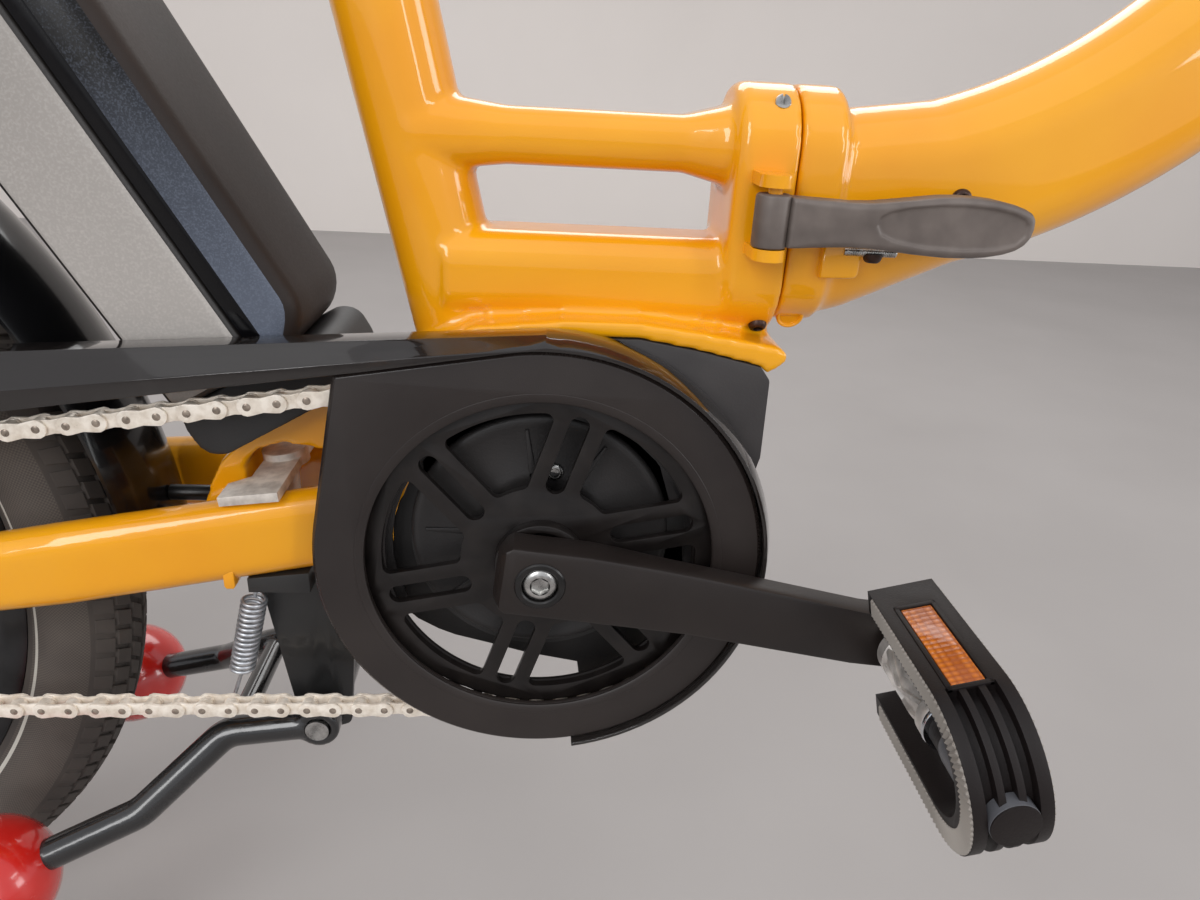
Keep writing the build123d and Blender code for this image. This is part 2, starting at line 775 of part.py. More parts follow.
def chain():
    """Bush chain: a narrow band of inner links, with the outer plates on every second link."""
    band = slab(chain_band(inner_plate_half_height), chain_y - inner_plate_outside, chain_y + inner_plate_outside)
    room = ring_radius + tooth_height + 1.5
    band -= disc(0, 0, room, chain_y - tooth_slot / 2, chain_y + tooth_slot / 2)
    room = sprocket_radius + tooth_height + 1.5
    band -= disc(rear_axle_x, rear_axle_z, room, chain_y - tooth_slot / 2, chain_y + tooth_slot / 2)
    plates = []
    h = outer_plate_half_height
    long = chain_pitch / 2 + h * 0.85
    outline = make_face(Polyline((-long, 0), (-long + 3, h), (long - 3, h), (long, 0), (long - 3, -h),
                                 (-long + 3, -h), close=True))
    for link in range(0, chain_links, 2):
        x0, z0, a0 = chain_point(link)
        x1, z1, a1 = chain_point(link + 1)
        turn = degrees(atan2(z1 - z0, x1 - x0))
        placed = Pos((x0 + x1) / 2, (z0 + z1) / 2) * Rot(0, 0, turn) * outline
        for y_low in (chain_y - inner_plate_outside - outer_plate_thickness, chain_y + inner_plate_outside):
            plates.append(slab(placed, y_low, y_low + outer_plate_thickness))
    return band.fuse(*plates)


def plate_outline(gap):
    """The guard plate in side view, with its rim moved out by gap."""
    radius = guard_outer_radius + gap
    point_reach = hypot(guard_point_x, guard_point_z)
    point_angle = atan2(guard_point_z, guard_point_x)
    spread = acos(radius / point_reach)
    touch = [(radius * cos(point_angle + turn), radius * sin(point_angle + turn)) for turn in (-spread, spread)]
    far = (-radius * cos(point_angle), -radius * sin(point_angle))
    point = (guard_point_x, guard_point_z)
    return make_face(Wire([Line(point, touch[0]), ThreePointArc(touch[0], far, touch[1]), Line(touch[1], point)]))


def guard_plate():
    """Flat ring over the chain, drawn out to a point where the upper run enters, with bevelled rims."""
    outline = plate_outline(0) - Circle(guard_inner_radius)
    plate = slab(outline, guard_face_y, guard_face_y + guard_thickness)
    face = plate.faces().sort_by(Axis.Y)[0]
    return chamfer(face.edges(), guard_bevel)


def cover_section(reach):
    """Cross section of the channel at a distance behind the crank axle: y across, and height."""
    top = cover_radius - reach * tan(radians(cover_lean))
    edge = cover_rim_radius - reach * tan(radians(cover_edge_lean))
    low = guard_outer_radius + seat_gap - reach * tan(radians(cover_low_lean))
    lip_y = guard_face_y + guard_thickness
    inside_low = top - cover_skirt
    return [
        # y across, height above the crank axle
        (cover_outer_y, low),
        (cover_outer_y, edge),
        (cover_shoulder_y, top),
        (cover_inner_y, top),
        (cover_inner_y, inside_low),
        (cover_inner_y - cover_wall, inside_low),
        (cover_inner_y - cover_wall, top - cover_wall),
        (cover_shoulder_y + cover_wall / 4, top - cover_wall),
        (lip_y, edge - cover_wall / 2),
        (lip_y, low),
    ]


def guard_cover():
    """Smoked channel over the chain: a top wall, a sloped shoulder and a low skirt on each side."""
    stations = [(0.0, cover_section(0.0)), (-cover_reach, cover_section(cover_reach))]
    faces = []
    for x, points in stations:
        wire = Wire.make_polygon([Vector(x, y, z) for y, z in points], close=True)
        faces.append(Face(wire))
    straight = loft(faces, ruled=True)
    half_section = Face(Wire.make_polygon([Vector(0, y, z) for y, z in cover_section(0.0)], close=True))
    bend = revolve(half_section, Axis((0, 0, 0), (0, 1, 0)), 90 - cover_end_angle)
    room = slab(plate_outline(seat_gap), cover_outer_y - 1, guard_face_y + guard_thickness)
    return straight + bend - room


def crank(side):
    """Crank arm; side is -1 for right, 1 for left, which points the other way."""
    angle = radians(crank_angle)
    direction = (cos(angle), sin(angle))
    normal = (-sin(angle), cos(angle))
    if side > 0:
        direction = (-direction[0], -direction[1])
    station_table = [
        # distance along the arm, half width, y of the inner face
        (-crank_back, crank_back_half, crank_boss_y),
        (crank_corner - crank_back, crank_boss_half, crank_boss_y),
        (12.0, crank_boss_half, crank_boss_y),
        (70.0, 15.5, crank_boss_y - 3.0),
        (crank_length - 20, 14.0, crank_tip_y),
    ]
    sections = []
    for distance, half_width, y_in in station_table:
        origin = (direction[0] * distance, -side * (y_in - crank_thickness / 2), direction[1] * distance)
        plane = Plane(origin=origin, x_dir=(0, 1, 0), z_dir=(direction[0], 0, direction[1]))
        sections.append(plane * RectangleRounded(crank_thickness, 2 * half_width, 4.5))
    arm = loft(sections, ruled=True)
    boss_y = sorted((-side * crank_boss_y, -side * (crank_boss_y - crank_thickness)))
    tip_y = sorted((-side * crank_tip_y, -side * (crank_tip_y - crank_thickness)))
    tip = (direction[0] * crank_length, direction[1] * crank_length)
    link = (direction[0] * (crank_length - 20), direction[1] * (crank_length - 20))
    tip_outline = Pos(tip[0], tip[1]) * Circle(crank_tip_radius)
    neck = Pos((tip[0] + link[0]) / 2, (tip[1] + link[1]) / 2) * Rot(0, 0, crank_angle)
    tip_outline += neck * Rectangle(20, 2 * crank_tip_radius)
    arm += slab(tip_outline, tip_y[0], tip_y[1])
    outer = boss_y[1] if side > 0 else boss_y[0]
    pocket = sorted((outer, outer - side * 3))
    arm -= disc(0, 0, cap_radius, pocket[0] - (0 if side > 0 else 1), pocket[1] + (1 if side > 0 else 0))
    arm -= disc(tip[0], tip[1], pedal_thread_radius, tip_y[0] - 1, tip_y[1] + 1)
    return arm


def crank_bolt(side):
    face = -side * (crank_boss_y - crank_thickness)
    y = sorted((face - side * 2.9, face + side * 0.8))
    bolt = disc(0, 0, cap_radius - 0.1, y[0], y[1])
    socket = disc(0, 0, 4, y[0] - 1 if side < 0 else y[1] - 2, y[0] + 2 if side < 0 else y[1] + 1)
    return bolt - socket


# Pedals

def pedal_frame(side):
    """Placing of a pedal: x is its thickness, y is its height, z points away from the crank."""
    x = pedal_x if side < 0 else -pedal_x
    z = pedal_z if side < 0 else -pedal_z
    y = side * -pedal_y
    tilt = radians(pedal_tilt)
    return Plane(origin=(x, y, z), x_dir=(cos(tilt), 0, sin(tilt)), z_dir=(0, side, 0))


def pedal_cage(side):
    """U-shaped cage round the barrel, with ribs across its rounded outer end."""
    frame = pedal_frame(side)
    loop_plane = Plane.YZ
    h = pedal_half_height
    outer = make_face(Wire([
        Line((h, 0), (h, pedal_length - h)),
        ThreePointArc((h, pedal_length - h), (0, pedal_length), (-h, pedal_length - h)),
        Line((-h, pedal_length - h), (-h, 0)), Line((-h, 0), (h, 0))]))
    i = h - pedal_rail
    inner = make_face(Wire([
        Line((i, -1), (i, pedal_length - h)),
        ThreePointArc((i, pedal_length - h), (0, pedal_length - pedal_rail - 3), (-i, pedal_length - h)),
        Line((-i, pedal_length - h), (-i, -1)), Line((-i, -1), (i, -1))]))
    loop = extrude(loop_plane * (outer - inner), amount=pedal_thickness / 2, both=True)
    for offset in (-7.0, 0.0, 7.0):
        groove = Pos(offset, 0) * Rectangle(4.4, 2 * h + 4)
        cut = extrude(Plane.XY.offset(pedal_length - h + 2) * groove, amount=h)
        keep = extrude(loop_plane * offset_outline(h - pedal_rib_depth), amount=pedal_thickness, both=True)
        loop -= cut - keep
    collar = extrude(Plane.XY.offset(pedal_barrel_length + 0.5) * Circle(pedal_barrel_radius - 3),
                     amount=pedal_length - pedal_rail - pedal_barrel_length)
    loop += collar
    reflector_room = Pos(0, h, pedal_length * 0.42) * Box(reflector_width, 2 * reflector_depth, reflector_length)
    loop -= reflector_room
    reflector_room = Pos(0, -h, pedal_length * 0.42) * Box(reflector_width, 2 * reflector_depth, reflector_length)
    loop -= reflector_room
    knob = extrude(Plane.XY.offset(pedal_length - 4) * Circle(pedal_knob_radius), amount=4 + pedal_knob_proud)
    return frame.location * (loop + knob)


def offset_outline(h):
    """Outline of the cage's solid core under the ribs."""
    drop = pedal_half_height - h
    return make_face(Wire([
        Line((h, -10), (h, pedal_length - pedal_half_height)),
        ThreePointArc((h, pedal_length - pedal_half_height), (0, pedal_length - drop),
                      (-h, pedal_length - pedal_half_height)),
        Line((-h, pedal_length - pedal_half_height), (-h, -10)), Line((-h, -10), (h, -10))]))


def pedal_barrel(side):
    """Cast barrel on the pedal's spindle."""
    frame = pedal_frame(side)
    barrel = extrude(Plane.XY * Circle(pedal_barrel_radius), amount=pedal_barrel_length)
    end = pedal_inner_gap + crank_thickness
    barrel += extrude(Plane.XY.offset(-end + 1) * Circle(pedal_thread_radius - 0.1), amount=end)
    return frame.location * barrel


def pedal_reflector(side):
    frame = pedal_frame(side)
    plates = []
    for sign in (-1, 1):
        place = Pos(0, sign * (pedal_half_height - reflector_depth / 2), pedal_length * 0.42)
        plates.append(place * Box(reflector_width - 0.3, reflector_depth, reflector_length - 0.3))
    return frame.location * Compound(children=plates)


# Rear wheel

def ring_body(points):
    """A ring turned about the rear axle from a half section of (radius, y) points."""
    section = make_face(Polyline(*[(rear_axle_x + r, y, rear_axle_z) for r, y in points], close=True))
    return revolve(section, Axis((rear_axle_x, 0, rear_axle_z), (0, 1, 0)), 360)


def tyre():
    half = tyre_width / 2
    bead = rim_outer_radius + 0.2
    bulge = rim_outer_radius + tyre_bulge_height
    shoulder = rim_outer_radius + tyre_height - tyre_shoulder_drop
    crown = rim_outer_radius + tyre_height
    right = [(bead, rim_width / 2), (bulge, half), (shoulder, half - 2), (crown, tyre_tread_half / 2)]
    left = [(radius, -y) for radius, y in reversed(right)]
    return ring_body(right + left)


def rim():
    half = rim_width / 2
    well = rim_outer_radius - rim_well_depth
    right = [(rim_outer_radius - rim_depth, rim_floor_half), (rim_outer_radius - rim_side_depth, half),
             (rim_outer_radius, half), (well, half - rim_lip)]
    left = [(radius, -y) for radius, y in reversed(right)]
    return ring_body(right + left)


def hub_and_spokes():
    flange_edge = hub_width / 2 - hub_side_step
    hub = disc(rear_axle_x, rear_axle_z, hub_radius, -flange_edge, flange_edge)
    for sign in (-1, 1):
        y = sorted((sign * flange_edge, sign * (flange_edge - hub_flange_thickness)))
        hub += disc(rear_axle_x, rear_axle_z, hub_flange_radius, y[0], y[1])
        y = sorted((sign * flange_edge, sign * (dropout_spacing / 2 - hub_end_gap)))
        hub += disc(rear_axle_x, rear_axle_z, hub_neck_radius, y[0], y[1])
    hub -= disc(rear_axle_x, rear_axle_z, axle_radius + 0.2, -dropout_spacing, dropout_spacing)
    spokes = []
    flange_y = flange_edge - hub_flange_thickness / 2
    for number in range(spoke_count):
        angle = 2 * pi * number / spoke_count
        sign = 1 if number % 2 else -1
        cross = radians(spoke_cross if number % 4 < 2 else -spoke_cross)
        inner = hub_flange_radius - 3
        outer = rim_outer_radius - rim_depth - spoke_nipple_gap
        start = Vector(rear_axle_x + inner * cos(angle + cross), sign * flange_y,
                       rear_axle_z + inner * sin(angle + cross))
        end = Vector(rear_axle_x + outer * cos(angle), sign * 3, rear_axle_z + outer * sin(angle))
        plane = Plane(origin=start, z_dir=end - start)
        spokes.append(extrude(plane * RegularPolygon(spoke_radius, spoke_faces), amount=(end - start).length))
    return hub.fuse(*spokes)


def sprocket():
    points = []
    root = sprocket_radius - roller_radius
    tip = sprocket_radius + tooth_height
    step = 2 * pi / sprocket_teeth
    for tooth in range(sprocket_teeth):
        for share, radius in ((-0.28, root), (0.28, root), (0.42, tip), (0.58, tip)):
            angle = (tooth + share) * step
            points.append((rear_axle_x + radius * cos(angle), rear_axle_z + radius * sin(angle)))
    outline = make_face(Polyline(*points, close=True))
    outline -= Pos(rear_axle_x, rear_axle_z) * Circle(hub_neck_radius + 0.1)
    return slab(outline, chain_y - ring_thickness / 2, chain_y + ring_thickness / 2)


def rear_axle():
    reach = dropout_spacing / 2 + dropout_thickness
    axle = disc(rear_axle_x, rear_axle_z, axle_radius, -reach - axle_nut_height - 4, reach + axle_nut_height + 4)
    for sign in (-1, 1):
        y = sorted((sign * (reach + 0.05), sign * (reach + axle_nut_height)))
        axle += disc(rear_axle_x, rear_axle_z, axle_nut_radius, y[0], y[1])
    return axle


def mudguard():
    """Crowned blade over the tyre."""
    outer = mudguard_radius
    half = mudguard_half_width
    points = [(outer - mudguard_crown, half), (outer - 2, half * 0.55), (outer, 0), (outer - 2, -half * 0.55),
              (outer - mudguard_crown, -half), (outer - mudguard_crown - mudguard_wall, -half + mudguard_wall),
              (outer - 2 - mudguard_wall, -half * 0.55), (outer - mudguard_wall, 0),
              (outer - 2 - mudguard_wall, half * 0.55), (outer - mudguard_crown - mudguard_wall, half - mudguard_wall)]
    a = radians(mudguard_front_angle)
    section = make_face(Polyline(*[
        (rear_axle_x + r * cos(a), y, rear_axle_z + r * sin(a)) for r, y in points], close=True))
    sweep_angle = mudguard_rear_angle - mudguard_front_angle
    return revolve(section, Axis((rear_axle_x, 0, rear_axle_z), (0, -1, 0)), sweep_angle)


def mudguard_stays():
    """Wire stays from the mudguard's edges to the dropouts, and the bolt to the stay bridge."""
    rods = []
    low_y = dropout_spacing / 2 + dropout_thickness + stay_rod_radius + seat_gap + stay_rod_lift
    reach = mudguard_radius - mudguard_crown + 1
    for side in (-1, 1):
        for angle in (112.0, 168.0):
            a = radians(angle)
            low = (rear_axle_x + stay_rod_foot * cos(a), side * low_y, rear_axle_z + stay_rod_foot * sin(a))
            high = (rear_axle_x + reach * cos(a), side * (mudguard_half_width + stay_rod_radius + seat_gap),
                    rear_axle_z + reach * sin(a))
            rods.append(rod(low, high, stay_rod_radius))
    drop = (stay_bridge_z - rear_axle_z)
    front = rear_axle_x + sqrt(mudguard_radius ** 2 - drop ** 2)
    rods.append(rod((front + seat_gap, 0, stay_bridge_z),
                    (stay_bridge_x - tray_foot_radius - seat_gap, 0, stay_bridge_z), mudguard_bolt_radius))
    return Compound(children=rods)


# Battery

def battery_point(across, along):
    """A point in side view: across is from the rear face forward, along is up its length."""
    lean = radians(battery_lean)
    x = battery_low_rear_x + across * cos(lean) - along * sin(lean)
    z = battery_low_rear_z + across * sin(lean) + along * cos(lean)
    return (x, z)


def battery_block(across_low, across_high, along_low, along_high, width, corner):
    points = [battery_point(across_low, along_low), battery_point(across_high, along_low),
              battery_point(across_high, along_high), battery_point(across_low, along_high)]
    return slab(round_outline(points, corner), -width / 2, width / 2)


def battery_case():
    return battery_block(0, battery_case_depth, 0, battery_length, battery_width, 6)


def battery_band():
    low = battery_case_depth + battery_joint_gap
    return battery_block(low, low + battery_band_depth, 0, battery_length, battery_width - 2, 3)


def battery_front():
    """Front shell: flat sides, then a crowned face with bevelled edges."""
    low = battery_case_depth + battery_band_depth + 2 * battery_joint_gap
    half = battery_width / 2
    right = [(low, half), (battery_front_flat, half), (battery_depth - 2, half - 5),
             (battery_depth, half - 13)]
    section = make_face(Polyline(*right, *[(x, -y) for x, y in reversed(right)], close=True))
    lean = radians(battery_lean)
    x, z = battery_point(0, 0)
    plane = Plane(origin=(x, 0, z), x_dir=(cos(lean), 0, sin(lean)), z_dir=(-sin(lean), 0, cos(lean)))
    shell = extrude(plane * section, amount=battery_length)
    return shell & battery_block(low, battery_depth, 0, battery_length, battery_width, battery_front_round)


def battery_dock():
    return battery_block(dock_rear_across, dock_depth, -dock_height, -battery_joint_gap, dock_width, dock_round)


# Stand

def stand_bracket():
    """Plate bolted under the stays, with two cheeks down to the stand's axle."""
    rear_x = stand_pivot_x - 26
    front_x = stand_pivot_x + 3
    low_z = stay_under(rear_x) - stand_plate_thickness
    top = slab(make_face(Polyline(
        (rear_x, stay_under(rear_x) - seat_gap), (front_x, stay_under(front_x) - seat_gap),
        (front_x, low_z), (rear_x, low_z), close=True)), -stand_plate_half_width, stand_plate_half_width)
    cheek = round_outline([
        (rear_x, low_z + 2), (stand_pivot_x + 18, low_z + 2),
        (stand_pivot_x + 18, low_z - 46), (stand_pivot_x + 14, stand_pivot_z - 8),
        (stand_pivot_x - 4, stand_pivot_z - 14), (stand_pivot_x - 14, stand_pivot_z + 4)], 4)
    bracket = top
    for side in (-1, 1):
        y = sorted((side * stand_cheek_y, side * (stand_cheek_y - stand_cheek_thickness)))
        bracket += slab(cheek, y[0], y[1])
    return bracket - disc(stand_pivot_x, stand_pivot_z, stand_axle_radius + 0.2, -60, 60)


def stay_top(x):
    """Height of a stay's top between its front and middle stations."""
    return stay_under(x) + stay_height


def stand_clamp():
    """Cast plate on top of both stays, with the bolt that pulls the stand bracket up against them."""
    half = stand_clamp_half_length
    rear_x = stand_clamp_x - stand_clamp_width / 2
    front_x = stand_clamp_x + stand_clamp_width / 2
    waist = half * 0.55
    plan = [(rear_x, -half), (front_x, -half), (front_x, half), (rear_x, half), (rear_x, waist + 6),
            (rear_x + 9, waist), (rear_x + 9, -waist), (rear_x, -waist - 6)]
    plan_face = make_face(Polyline(*[(x - stand_clamp_x, y) for x, y in plan], close=True))
    slope = degrees(atan2(stay_top(front_x) - stay_top(rear_x), front_x - rear_x))
    seat_z = stay_top(stand_clamp_x) + seat_gap
    place = Pos(stand_clamp_x, 0, seat_z) * Rot(0, -slope, 0)
    plate = place * extrude(plan_face, amount=stand_clamp_thickness)
    boss = extrude(Circle(stand_clamp_boss_radius), amount=stand_clamp_boss_height)
    boss = place * Pos(stand_clamp_bolt_x - stand_clamp_x, 0, 0) * boss
    bolt_low_z = stay_under(stand_clamp_bolt_x + stand_bolt_radius)
    bolt = rod((stand_clamp_bolt_x, 0, bolt_low_z), (stand_clamp_bolt_x, 0, seat_z + 2), stand_bolt_radius)
    return plate + boss + bolt


def stand_axle():
    return disc(stand_pivot_x, stand_pivot_z, stand_axle_radius, -stand_axle_half, stand_axle_half)


def stand_foot_place():
    """Centre of a stand foot in side view."""
    angle = radians(stand_rest_angle)
    return (stand_pivot_x - stand_reach * cos(angle), stand_pivot_z - stand_reach * sin(angle))


def stand_legs():
    """Forked legs: a cross sleeve on the axle, then a bent tube to each foot."""
    foot_x, foot_z = stand_foot_place()
    inner = stand_cheek_y + 1
    sleeve_low = stand_cheek_y - stand_cheek_thickness - 1
    legs = disc(stand_pivot_x, stand_pivot_z, stand_sleeve_radius, -sleeve_low, sleeve_low)
    for side in (-1, 1):
        y = sorted((side * inner, side * (stand_axle_half - 1)))
        legs += disc(stand_pivot_x, stand_pivot_z, stand_sleeve_radius, y[0], y[1])
        middle_y = side * (inner + stand_leg_radius)
        path = FilletPolyline(
            (stand_pivot_x - 4, middle_y, stand_pivot_z), (stand_pivot_x - 48, middle_y, stand_pivot_z - 6),
            (stand_pivot_x - 86, side * 64, stand_pivot_z - 36), (foot_x, side * stand_foot_y, foot_z), radius=18)
        plane = Plane(origin=path @ 0, z_dir=path % 0)
        legs += sweep(plane * Circle(stand_leg_radius), path=path)
    tie_x = stand_pivot_x - 44
    legs += disc(tie_x, stand_pivot_z - 6, 6, -inner - 6, inner + 6)
    return legs - disc(stand_pivot_x, stand_pivot_z, stand_axle_radius + 0.2, -60, 60)


def stand_feet():
    """Round rubber feet on the leg ends."""
    foot_x, foot_z = stand_foot_place()
    legs = stand_legs()
    feet = []
    for side in (-1, 1):
        corners = []
        for step in range(stand_foot_steps + 1):
            angle = pi * step / stand_foot_steps - pi / 2
            corners.append((foot_x + stand_foot_radius * cos(angle),
                            side * stand_foot_y + stand_foot_radius * sin(angle), foot_z))
        half = make_face(Polyline(*corners, close=True))
        ball = revolve(half, Axis((foot_x, 0, foot_z), (0, 1, 0)), 360)
        feet.append(ball - legs)
    return Compound(children=feet)


def stand_spring():
    """Return spring from the bracket to the right leg, with its straight hook wires."""
    top_z = stay_under(stand_pivot_x - 26) - stand_plate_thickness - seat_gap
    top = (stand_pivot_x - 24, -stand_spring_y, top_z)
    low = (stand_pivot_x - 37, -stand_spring_y, top_z - 52)
    hook = (stand_pivot_x - 47, -stand_spring_y, stand_pivot_z + 3)
    coil_top = (stand_pivot_x - 25, -stand_spring_y, top_z - stand_hook_length)
    spring = rod(coil_top, low, stand_spring_radius)
    return spring + rod(low, hook, stand_wire_radius) + rod(top, coil_top, stand_wire_radius)


pieces = {
    "seat_tube": seat_tube,
    "seat_clamp": seat_clamp,
    "upper_bridge": upper_bridge,
    "lower_bridge": lower_bridge,
    "hinge_plate_rear": hinge_plate_rear,
    "hinge_plate_front": hinge_plate_front,
    "hinge_pin": hinge_pin,
    "hinge_lever": hinge_lever,
    "lever_lug": lever_lug,
    "motor_cradle": motor_cradle,
    "battery_tray": battery_tray,
    "chainstay_right": chainstay_right,
    "chainstay_left": chainstay_left,
    "stay_bridge": stay_bridge,
    "dropout_right": lambda: dropout(-1),
    "dropout_left": lambda: dropout(1),
    "main_tube": main_tube,
    "head_tube": head_tube,
    "motor_housing": motor_housing,
    "guard_carrier": guard_carrier,
    "crank_spindle": crank_spindle,
    "chain_ring": chain_ring,
    "spider_lockring": spider_lockring,
    "chain": chain,
    "guard_plate": guard_plate,
    "guard_cover": guard_cover,
    "crank_right": lambda: crank(-1),
    "crank_left": lambda: crank(1),
    "crank_bolt_right": lambda: crank_bolt(-1),
    "crank_bolt_left": lambda: crank_bolt(1),
    "pedal_cage_right": lambda: pedal_cage(-1),
    "pedal_cage_left": lambda: pedal_cage(1),
    "pedal_barrel_right": lambda: pedal_barrel(-1),
    "pedal_barrel_left": lambda: pedal_barrel(1),
    "pedal_reflectors_right": lambda: pedal_reflector(-1),
    "pedal_reflectors_left": lambda: pedal_reflector(1),
    "tyre": tyre,
    "rim": rim,
    "hub": hub_and_spokes,
    "sprocket": sprocket,
    "rear_axle": rear_axle,
    "mudguard": mudguard,
    "mudguard_stays": mudguard_stays,
    "battery_case": battery_case,
    "battery_band": battery_band,
    "battery_front": battery_front,
    "battery_dock": battery_dock,
    "stand_bracket": stand_bracket,
    "stand_clamp": stand_clamp,
    "stand_axle": stand_axle,
    "stand_legs": stand_legs,
    "stand_feet": stand_feet,
    "stand_spring": stand_spring,
}

for name, build in pieces.items():
    write(name, build())
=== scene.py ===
import math

import bmesh
import bpy
from mathutils import Matrix, Vector
from mathutils.bvhtree import BVHTree


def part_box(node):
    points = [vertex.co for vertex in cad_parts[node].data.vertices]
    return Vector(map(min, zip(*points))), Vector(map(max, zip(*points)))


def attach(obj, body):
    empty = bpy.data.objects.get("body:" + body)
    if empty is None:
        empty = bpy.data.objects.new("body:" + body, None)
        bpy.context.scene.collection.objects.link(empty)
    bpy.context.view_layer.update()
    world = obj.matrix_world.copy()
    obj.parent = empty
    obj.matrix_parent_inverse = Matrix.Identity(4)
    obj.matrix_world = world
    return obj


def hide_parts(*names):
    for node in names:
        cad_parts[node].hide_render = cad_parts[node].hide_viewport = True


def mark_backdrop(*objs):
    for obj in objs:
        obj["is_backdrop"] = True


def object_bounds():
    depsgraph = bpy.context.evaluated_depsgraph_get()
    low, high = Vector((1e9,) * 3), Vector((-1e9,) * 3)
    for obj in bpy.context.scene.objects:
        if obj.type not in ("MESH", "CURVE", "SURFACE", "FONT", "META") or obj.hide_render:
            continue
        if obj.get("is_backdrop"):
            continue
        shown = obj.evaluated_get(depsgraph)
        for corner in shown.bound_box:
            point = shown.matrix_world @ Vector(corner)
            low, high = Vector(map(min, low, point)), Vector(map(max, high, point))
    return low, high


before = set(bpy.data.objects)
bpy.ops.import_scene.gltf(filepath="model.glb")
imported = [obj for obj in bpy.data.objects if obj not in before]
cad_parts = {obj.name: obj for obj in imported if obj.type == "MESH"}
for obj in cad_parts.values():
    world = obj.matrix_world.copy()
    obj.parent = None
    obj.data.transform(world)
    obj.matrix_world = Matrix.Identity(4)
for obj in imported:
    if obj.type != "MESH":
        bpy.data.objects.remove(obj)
cad_low, cad_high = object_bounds()


# Camera
# A hand-held camera 0.4 m to the right of the cranks and 0.2 m above them. It looks slightly
# down and a few degrees towards the front, with a wide lens, so near pieces look large.
picture_width = 1200
focal_length_pixels = 844.1
film_width = 36.0
nearest_seen = 0.01
camera_place = Vector((0.10242, -0.39770, -0.18698))
camera_right = Vector((0.99695465, -0.05860653, 0.05144601))
camera_down = Vector((0.02409389, -0.39594252, -0.91795915))
camera_ahead = Vector((0.07416807, 0.91640318, -0.39332468))


def in_scene(name, data):
    """A new object that holds data, linked to the scene."""
    item = bpy.data.objects.new(name, data)
    bpy.context.scene.collection.objects.link(item)
    return item


lens = bpy.data.cameras.new("camera")
lens.sensor_width = film_width
lens.lens = focal_length_pixels / picture_width * film_width
lens.clip_start = nearest_seen
camera = in_scene("camera", lens)
camera_turn = Matrix((camera_right, -camera_down, -camera_ahead)).transposed()
camera.matrix_world = Matrix.Translation(camera_place) @ camera_turn.to_4x4()
bpy.context.scene.camera = camera
bpy.context.scene.view_settings.view_transform = "Standard"


# Floor, wall and light
# A pale painted floor that meets a pale wall behind the bicycle. Soft daylight comes from
# above and from tall windows at the front, which leave narrow highlights on the paint.


class Link:
    """An output of a shader node. Arithmetic on links adds the Math nodes that it needs."""

    def __init__(self, tree, socket):
        self.tree = tree
        self.socket = socket

    @staticmethod
    def node(tree, kind, settings=None, values=None, output=0):
        """Add a node, make its settings, then fill its sockets with values or links."""
        node = tree.nodes.new(kind)
        for name, setting in (settings or {}).items():
            setattr(node, name, setting)
        for name, value in (values or {}).items():
            socket = node.inputs[name]
            if isinstance(value, Link):
                tree.links.new(value.socket, socket)
            else:
                socket.default_value = value
        return Link(tree, node.outputs[output])

    def maths(self, operation, first, second=None):
        """A Math node on one or two numbers or links."""
        values = {0: first}
        if second is not None:
            values[1] = second
        return Link.node(self.tree, "ShaderNodeMath", {"operation": operation}, values)

    def __add__(self, other):
        return self.maths("ADD", self, other)

    def __radd__(self, other):
        return self.maths("ADD", other, self)

    def __sub__(self, other):
        return self.maths("SUBTRACT", self, other)

    def __rsub__(self, other):
        return self.maths("SUBTRACT", other, self)

    def __mul__(self, other):
        return self.maths("MULTIPLY", self, other)

    def __rmul__(self, other):
        return self.maths("MULTIPLY", other, self)

    def __gt__(self, other):
        return self.maths("GREATER_THAN", self, other)

    def __lt__(self, other):
        return self.maths("LESS_THAN", self, other)

    def root(self):
        return self.maths("SQRT", self)

    def sine(self):
        return self.maths("SINE", self)

    def angle_from(self, across):
        return self.maths("ARCTAN2", self, across)

    def ramp(self, low, high, low_value=0.0, high_value=1.0):
        """This value from low to high, turned into low_value to high_value and clamped."""
        limits = {"From Min": low, "From Max": high, "To Min": low_value, "To Max": high_value}
        return Link.node(self.tree, "ShaderNodeMapRange", {"clamp": True}, {"Value": self, **limits})


def linear(red, green, blue):
    """A colour as seen on a screen, 0 to 255, as the light values that Blender works with."""
    values = []
    for part in (red, green, blue):
        share = part / 255
        values.append(share / 12.92 if share <= 0.04045 else ((share + 0.055) / 1.055) ** 2.4)
    return (*values, 1.0)


def between(share, low_color, high_color):
    """A colour that goes from one to the other as share goes from 0 to 1."""
    # A colour Mix node has its factor at socket 0, its colours at 6 and 7, and its result at 2.
    values = {0: share, 6: low_color, 7: high_color}
    return Link.node(share.tree, "ShaderNodeMix", {"data_type": "RGBA"}, values, output=2)


def finish(name, color, roughness, metallic=0.0, **fixed):
    """A new material with one Principled shader. Returns the material, its shader and its tree."""
    material = bpy.data.materials.new(name)
    material.use_nodes = True
    tree = material.node_tree
    shader = tree.nodes["Principled BSDF"]
    for socket, value in (("Base Color", color), ("Roughness", roughness), ("Metallic", metallic)):
        shader.inputs[socket].default_value = value
    for socket, value in fixed.items():
        shader.inputs[socket.replace("_", " ").title().replace("Ior", "IOR")].default_value = value
    material.diffuse_color = color
    return material, shader, tree


def place_in(tree, scale=(1.0, 1.0, 1.0), location=(0.0, 0.0, 0.0)):
    """Object coordinates, in metres, stretched by scale and moved by location."""
    place = Link.node(tree, "ShaderNodeTexCoord", output="Object")
    values = {"Vector": place, "Location": location, "Scale": scale}
    return Link.node(tree, "ShaderNodeMapping", {}, values)


